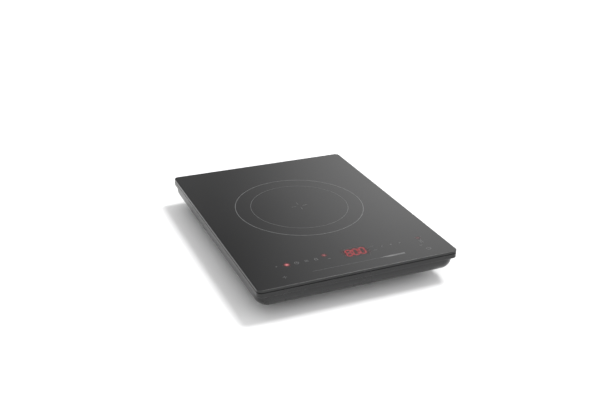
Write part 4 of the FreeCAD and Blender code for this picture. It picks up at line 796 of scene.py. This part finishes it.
class COOKTOP_OT_feet(CooktopStep):
    """Rubber feet: tapered, with two side grooves, tread rings and a recess for the screw.

    Each groove is a bell curve cut into the side; the tread is three waves of
    (0.5 - 0.5 cos a) squared.
    """
    bl_idname = "cooktop.feet"
    bl_label = "Feet"

    def execute(self, context):
        recess, screw_hole, taper, lip = 5 * MM, 1.7 * MM, 1.5 * MM, 0.4 * MM
        groove, groove_run, groove_at = 0.45 * MM, 0.05, (0.38, 0.62)
        tread_depth, tread_inset, waves = 0.35 * MM, 0.5 * MM, 3
        for node in ("foot_front_left", "foot_front_right", "foot_back_left", "foot_back_right"):
            low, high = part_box(node)
            middle, tall, top = (low + high) / 2, high.z - low.z, (high.x - low.x) / 2
            floor = top - taper
            climb = np.linspace(0.06, 1, 40)
            bells = sum(np.exp(-((climb - at) / groove_run) ** 2) for at in groove_at)
            side = floor + (top - floor) * climb - groove * bells
            tread = np.linspace(recess + tread_inset, floor - tread_inset, 46)
            turn = (tread - tread[0]) / (tread[-1] - tread[0]) * waves * 2 * np.pi
            lift = tread_depth * (0.5 - 0.5 * np.cos(turn)) ** 2
            profile = np.vstack([
                [screw_hole, 0.5 * tall], [recess, 0.5 * tall], [recess, lip],
                np.column_stack([tread, lift]),
                np.column_stack([side, climb * tall]), [screw_hole, tall]])
            solid = turned(profile, (middle.x, middle.y, low.z), 56, loop=True)
            new_piece(f"rubber_{node}", solid, "foot_rubber", replaces=[node])
        return {"FINISHED"}


def screw_solid(place, head_low, head_high, shank_high, head=2.8 * MM, shank=1.5 * MM):
    """A pan-head screw that points up, with a cross recess in the head's lower face.

    The head's lower face is a flat dome; inside the cross (two bars at right angles) it rises
    by the recess depth. The shank carries rings for its thread, one to each turn's pitch.
    """
    pitch, tip = 1.1 * MM, 1.2 * MM
    arm_width, arm_reach, recess_depth = 0.48 * MM, 1.75 * MM, 0.55
    ring = np.linspace(0, head * 0.94, 16)
    tall = head_high - head_low
    dome = 0.28 * tall * (ring / head) ** 2.4
    thread_z = np.linspace(head_high + 0.2 * MM, shank_high - tip, 60)
    thread_r = shank * (0.93 + 0.07 * np.cos((thread_z - head_high) / pitch * 2 * np.pi))
    profile = np.vstack([
        np.column_stack([ring, dome]), [head, 0.45 * tall], [head, 0.92 * tall],
        [0.96 * head, tall], [shank, tall],
        np.column_stack([thread_r, thread_z - head_low]),
        [0.5 * MM, shank_high - head_low - 0.2 * MM], [0, shank_high - head_low]])

    def recess(points):
        x, y, z = points.T
        near, far = np.minimum(abs(x), abs(y)), np.maximum(abs(x), abs(y))
        cross = (np.clip((arm_width - near) / (0.2 * MM), 0, 1)
                 * np.clip((arm_reach - far) / (0.3 * MM), 0, 1))
        face = z < 0.4 * tall
        return np.column_stack([x, y, z + np.where(face, cross * recess_depth * tall, 0)])

    return turned(profile, (*place, head_low), 48, change=recess)


class COOKTOP_OT_screws(CooktopStep):
    """Cross-head screws under the case and in the feet."""
    bl_idname = "cooktop.screws"
    bl_label = "Screws"

    def execute(self, context):
        # the side pair of case screws stands at the box's edge, the corner ones at corner_x
        head, head_height, corner_x, side_y = 2.8 * MM, 1.8 * MM, 112 * MM, -10 * MM
        signs = [(sx, sy) for sx in (-1, 1) for sy in (-1, 1)]
        for node, name in (("case_screws", "case_screw_set"), ("foot_screws", "foot_screw_set")):
            low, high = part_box(node)
            edge_x, edge_y = high.x - head, high.y - head
            if node == "case_screws":
                places = [(sx * corner_x, sy * edge_y) for sx, sy in signs]
                places += [(-edge_x, side_y), (edge_x, side_y)]
            else:
                places = [(sx * edge_x, sy * edge_y) for sx, sy in signs]
            screws = [screw_solid(place, low.z, low.z + head_height, high.z) for place in places]
            new_piece(name, gathered(screws), "screw_steel", replaces=[node])
        return {"FINISHED"}


class COOKTOP_OT_cord_gland(CooktopStep):
    """Strain relief of the cord: inner clip, collar and a tail of flexible rings.

    The tail's radius falls evenly from neck to end, less the rings' cuts: the root of the
    positive half of a sine.
    """
    bl_idname = "cooktop.cord_gland"
    bl_label = "Cord Gland"

    def execute(self, context):
        low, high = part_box("cord_gland")
        middle = (low + high) / 2
        bore, neck, flange, end = 3.6 * MM, 6 * MM, 7.5 * MM, 4.6 * MM
        clip, wall, collar = 3 * MM, 2.5 * MM, 2 * MM
        tail_low = clip + wall + collar
        along = np.linspace(tail_low + 0.2 * MM, high.y - low.y, 70)
        share = (along - tail_low) / (along[-1] - tail_low)
        taper = neck + (end - neck) * share
        rings, ring_depth, plain_from = 5, 0.7 * MM, 0.94
        wave = np.clip(np.sin(share * 2 * np.pi * rings), 0, 1)
        cuts = ring_depth * wave ** 0.5 * (share < plain_from)
        profile = np.vstack([
            [bore, 0], [flange - 0.5 * MM, 0], [flange, 0.5 * MM], [flange, clip], [neck, clip],
            [neck, clip + wall], [flange, clip + wall], [flange, tail_low - 0.4 * MM],
            [flange - 0.4 * MM, tail_low], np.column_stack([taper - cuts, along]),
            [bore, along[-1]], [bore, 0.5 * along[-1]]])
        solid = turned(profile, (middle.x, low.y, middle.z), 56, loop=True, along_y=True)
        new_piece("cord_gland_ribbed", solid, "gland_rubber", replaces=["cord_gland"])
        return {"FINISHED"}


def fan_blade(first_angle, root, tip, low, high):
    """One curved blade: a lens-shaped section along its chord, carried out from root to tip.

    Along the chord c from -1 to 1 the angle grows evenly and the height follows slope times c plus
    camber times (1 - c squared); the section stands off by half the thickness times the root of
    1 - c squared. Outwards the blade sweeps forward by the span squared, and its chord angle
    narrows.
    """
    rows, half_thickness, margin = 12, 0.65 * MM, 0.8 * MM
    wide, narrower, sweep = math.radians(34), math.radians(12), 0.28
    slope, camber = 0.92, 0.12
    span = np.linspace(0, 1, rows)[:, None]
    around = np.linspace(0, 2 * np.pi, 26, endpoint=False)[None, :]
    chord, thick = np.cos(around), half_thickness * np.sin(around)
    radius = root + (tip - root) * span + 0 * chord
    opening = wide - narrower * span
    angle = first_angle + opening / 2 * chord + sweep * span ** 2
    rise = (high - low) / 2 - margin
    height = (low + high) / 2 + rise * (slope * chord + camber * (1 - chord ** 2))
    run = radius * opening / 2
    length = np.hypot(run, rise)
    angle = angle - thick * rise / length / radius
    height = height + thick * run / length
    points = np.stack([radius * np.cos(angle), radius * np.sin(angle), height],
                      axis=2).reshape(-1, 3)
    cols = around.size
    faces = grid_faces(rows, cols).tolist()
    faces += [list(range(cols))[::-1], list(range((rows - 1) * cols, rows * cols))]
    return points, faces


class COOKTOP_OT_fan_rotor(CooktopStep):
    """Cooling fan rotor: a cup with seven curved blades, turning with the rotor body."""
    bl_idname = "cooktop.fan_rotor"
    bl_label = "Fan Rotor"

    def execute(self, context):
        shaft_low, shaft_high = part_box("fan_shaft")
        low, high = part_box("fan_rotor")
        middle = (shaft_low + shaft_high) / 2
        hub, wall, hole, tip = 15.5 * MM, 1.2 * MM, 1.5 * MM, 31.5 * MM
        rim, root_overlap, inset, count = 1.5 * MM, 0.4 * MM, 0.3 * MM, 7
        top, bottom = high.z, low.z
        edge = np.linspace(0, np.pi / 2, 8)
        crown = np.column_stack([hub - rim + rim * np.cos(edge), top - rim + rim * np.sin(edge)])
        profile = np.vstack([[hole, top - wall], [hub - wall, top - wall], [hub - wall, bottom],
                             [hub, bottom], crown, [hole, top]])
        cup = turned(profile, (0, 0, 0), 72, loop=True)
        blades = [fan_blade(turn, hub - root_overlap, tip, bottom + inset, top - inset)
                  for turn in np.linspace(0, 2 * np.pi, count, endpoint=False)]
        points, faces = gathered([cup, *blades])
        points[:, :2] += np.array(middle.xy)
        new_piece("fan_rotor_bladed", (points, faces), "fan_plastic", body="rotor",
                  replaces=["fan_rotor"])
        return {"FINISHED"}


class COOKTOP_OT_stage(CooktopStep):
    """White floor, soft studio light and the camera."""
    bl_idname = "cooktop.stage"
    bl_label = "Stage"

    def execute(self, context):
        studio = context.scene.cooktop_studio
        self.make_floor()
        self.make_light(studio)
        self.make_world(studio)
        self.make_camera(studio)
        context.scene.view_settings.view_transform = "Standard"
        return {"FINISHED"}

    def make_floor(self):
        """A large flat floor, well past everything that the camera sees."""
        reach = 15.0
        mesh = bpy.data.meshes.new("studio_floor")
        mesh.from_pydata([(-reach, -reach, 0), (reach, -reach, 0), (reach, reach, 0),
                          (-reach, reach, 0)], [], [(0, 1, 2, 3)])
        floor = bpy.data.objects.new("studio_floor", mesh)
        bpy.context.scene.collection.objects.link(floor)
        made, tree, shader = blank_material("studio_paper")
        tint = placed(tree, "cloudy_tint", Tint=(0.90, 0.90, 0.90, 1),
                      Second_Tint=(0.885, 0.885, 0.888, 1), Scale=3.0)
        fill(tree, shader, {"Base Color": tint, "Roughness": 0.9, "Specular IOR Level": 0.1})
        mesh.materials.append(made)

    def make_light(self, studio):
        """One soft key light from the right and above."""
        towards = Vector((0.60, 0.08, 1.2))
        lamp = bpy.data.lights.new("key_light", "SUN")
        lamp.energy = studio.key_strength
        lamp.angle = studio.key_softness
        item = bpy.data.objects.new("key_light", lamp)
        item.rotation_mode = "QUATERNION"
        item.rotation_quaternion = towards.to_track_quat("Z", "Y")
        bpy.context.scene.collection.objects.link(item)

    def make_world(self, studio):
        """Studio walls: dim to one side, bright to the other, by compass direction; even overhead.

        What counts is the cosine between a direction's level part and the bright side.
        """
        bright, front_level, overhead_level, high_wall = math.radians(80), 1.4, 1.0, 0.84
        world = bpy.data.worlds.new("studio")
        world.use_nodes = True
        tree = world.node_tree
        tree.nodes.clear()
        aim = add(tree, "ShaderNodeTexCoord").outputs["Generated"]
        parts = add(tree, "ShaderNodeSeparateXYZ", {"Vector": aim}).outputs
        level = maths(tree, "MULTIPLY_ADD", parts["Z"], maths(tree, "MULTIPLY", parts["Z"], -1.0),
                      1.0)
        reach = maths(tree, "SQRT", maths(tree, "MAXIMUM", level, 0.0001))
        along = maths(tree, "MULTIPLY_ADD", parts["X"], math.sin(bright),
                      maths(tree, "MULTIPLY", parts["Y"], math.cos(bright)))
        wall = ramp(tree, maths(tree, "DIVIDE", along, reach), 0.45, 0.70,
                    studio.fill_dim, studio.fill_bright)
        wall = maths(tree, "MULTIPLY", wall, ramp(tree, parts["Z"], 0.40, 0.50, 1.0, high_wall))
        front = ramp(tree, maths(tree, "DIVIDE", parts["Y"], reach), 0.1, -0.8)
        wall = add(tree, "ShaderNodeMix", {0: front, 2: wall, 3: front_level}).outputs[0]
        overhead = ramp(tree, parts["Z"], 0.55, 0.85, 0.0, 1.0)
        value = add(tree, "ShaderNodeMix", {0: overhead, 2: wall, 3: overhead_level}).outputs[0]
        back = add(tree, "ShaderNodeBackground", {"Color": (1, 1, 1, 1), "Strength": value})
        out = add(tree, "ShaderNodeOutputWorld")
        tree.links.new(back.outputs["Background"], out.inputs["Surface"])
        bpy.context.scene.world = world

    def make_camera(self, studio):
        """The camera: to the front left, looking right and down, with a slight roll."""
        place = Vector((-0.4447, -0.9779, 0.5631))
        yaw, pitch, roll = (math.radians(a) for a in (-24.1, 25.03, 1.24))
        ahead = Vector((-math.sin(yaw) * math.cos(pitch), math.cos(yaw) * math.cos(pitch),
                        -math.sin(pitch)))
        right = Vector((math.cos(yaw), math.sin(yaw), 0))
        up = right.cross(ahead)
        axis_x = math.cos(roll) * right + math.sin(roll) * up
        axis_y = -math.sin(roll) * right + math.cos(roll) * up
        turn = Matrix((axis_x, axis_y, -ahead)).transposed()
        data = bpy.data.cameras.new("camera")
        data.lens = studio.lens
        data.sensor_width = 36.0
        camera = bpy.data.objects.new("camera", data)
        camera.matrix_world = Matrix.Translation(place) @ turn.to_4x4()
        bpy.context.scene.collection.objects.link(camera)
        bpy.context.scene.camera = camera


class COOKTOP_PT_panel(Panel):
    """Lists the cooktop's settings and steps in the 3D view's sidebar."""
    bl_idname = "COOKTOP_PT_panel"
    bl_label = "Induction Cooktop"
    bl_space_type = "VIEW_3D"
    bl_region_type = "UI"
    bl_category = "Cooktop"

    def draw(self, context):
        for label, settings in SETTINGS.items():
            box = self.layout.box()
            for name in settings.__annotations__:
                box.prop(getattr(context.scene, label), name)
        for step in STEPS:
            self.layout.operator(step.bl_idname)


STEPS = (COOKTOP_OT_finishes, COOKTOP_OT_glass_plate, COOKTOP_OT_silicone_bead,
         COOKTOP_OT_zone_print, COOKTOP_OT_key_prints, COOKTOP_OT_display,
         COOKTOP_OT_indicator_lights, COOKTOP_OT_feet, COOKTOP_OT_screws,
         COOKTOP_OT_cord_gland, COOKTOP_OT_fan_rotor, COOKTOP_OT_stage)
SETTINGS = {"cooktop_sizes": CooktopSizes, "cooktop_colours": CooktopColours,
            "cooktop_studio": CooktopStudio}
CLASSES = (*SETTINGS.values(), *STEPS, COOKTOP_PT_panel)


def register():
    for made in CLASSES:
        bpy.utils.register_class(made)
    for label, settings in SETTINGS.items():
        setattr(bpy.types.Scene, label, PointerProperty(type=settings))


def unregister():
    for label in SETTINGS:
        delattr(bpy.types.Scene, label)
    for made in reversed(CLASSES):
        bpy.utils.unregister_class(made)


def main():
    """Build everything in order."""
    register()
    for step in STEPS:
        group, name = step.bl_idname.split(".")
        if getattr(getattr(bpy.ops, group), name)() != {"FINISHED"}:
            raise RuntimeError(f"{step.bl_idname} did not finish")


if __name__ == "__main__":
    main()
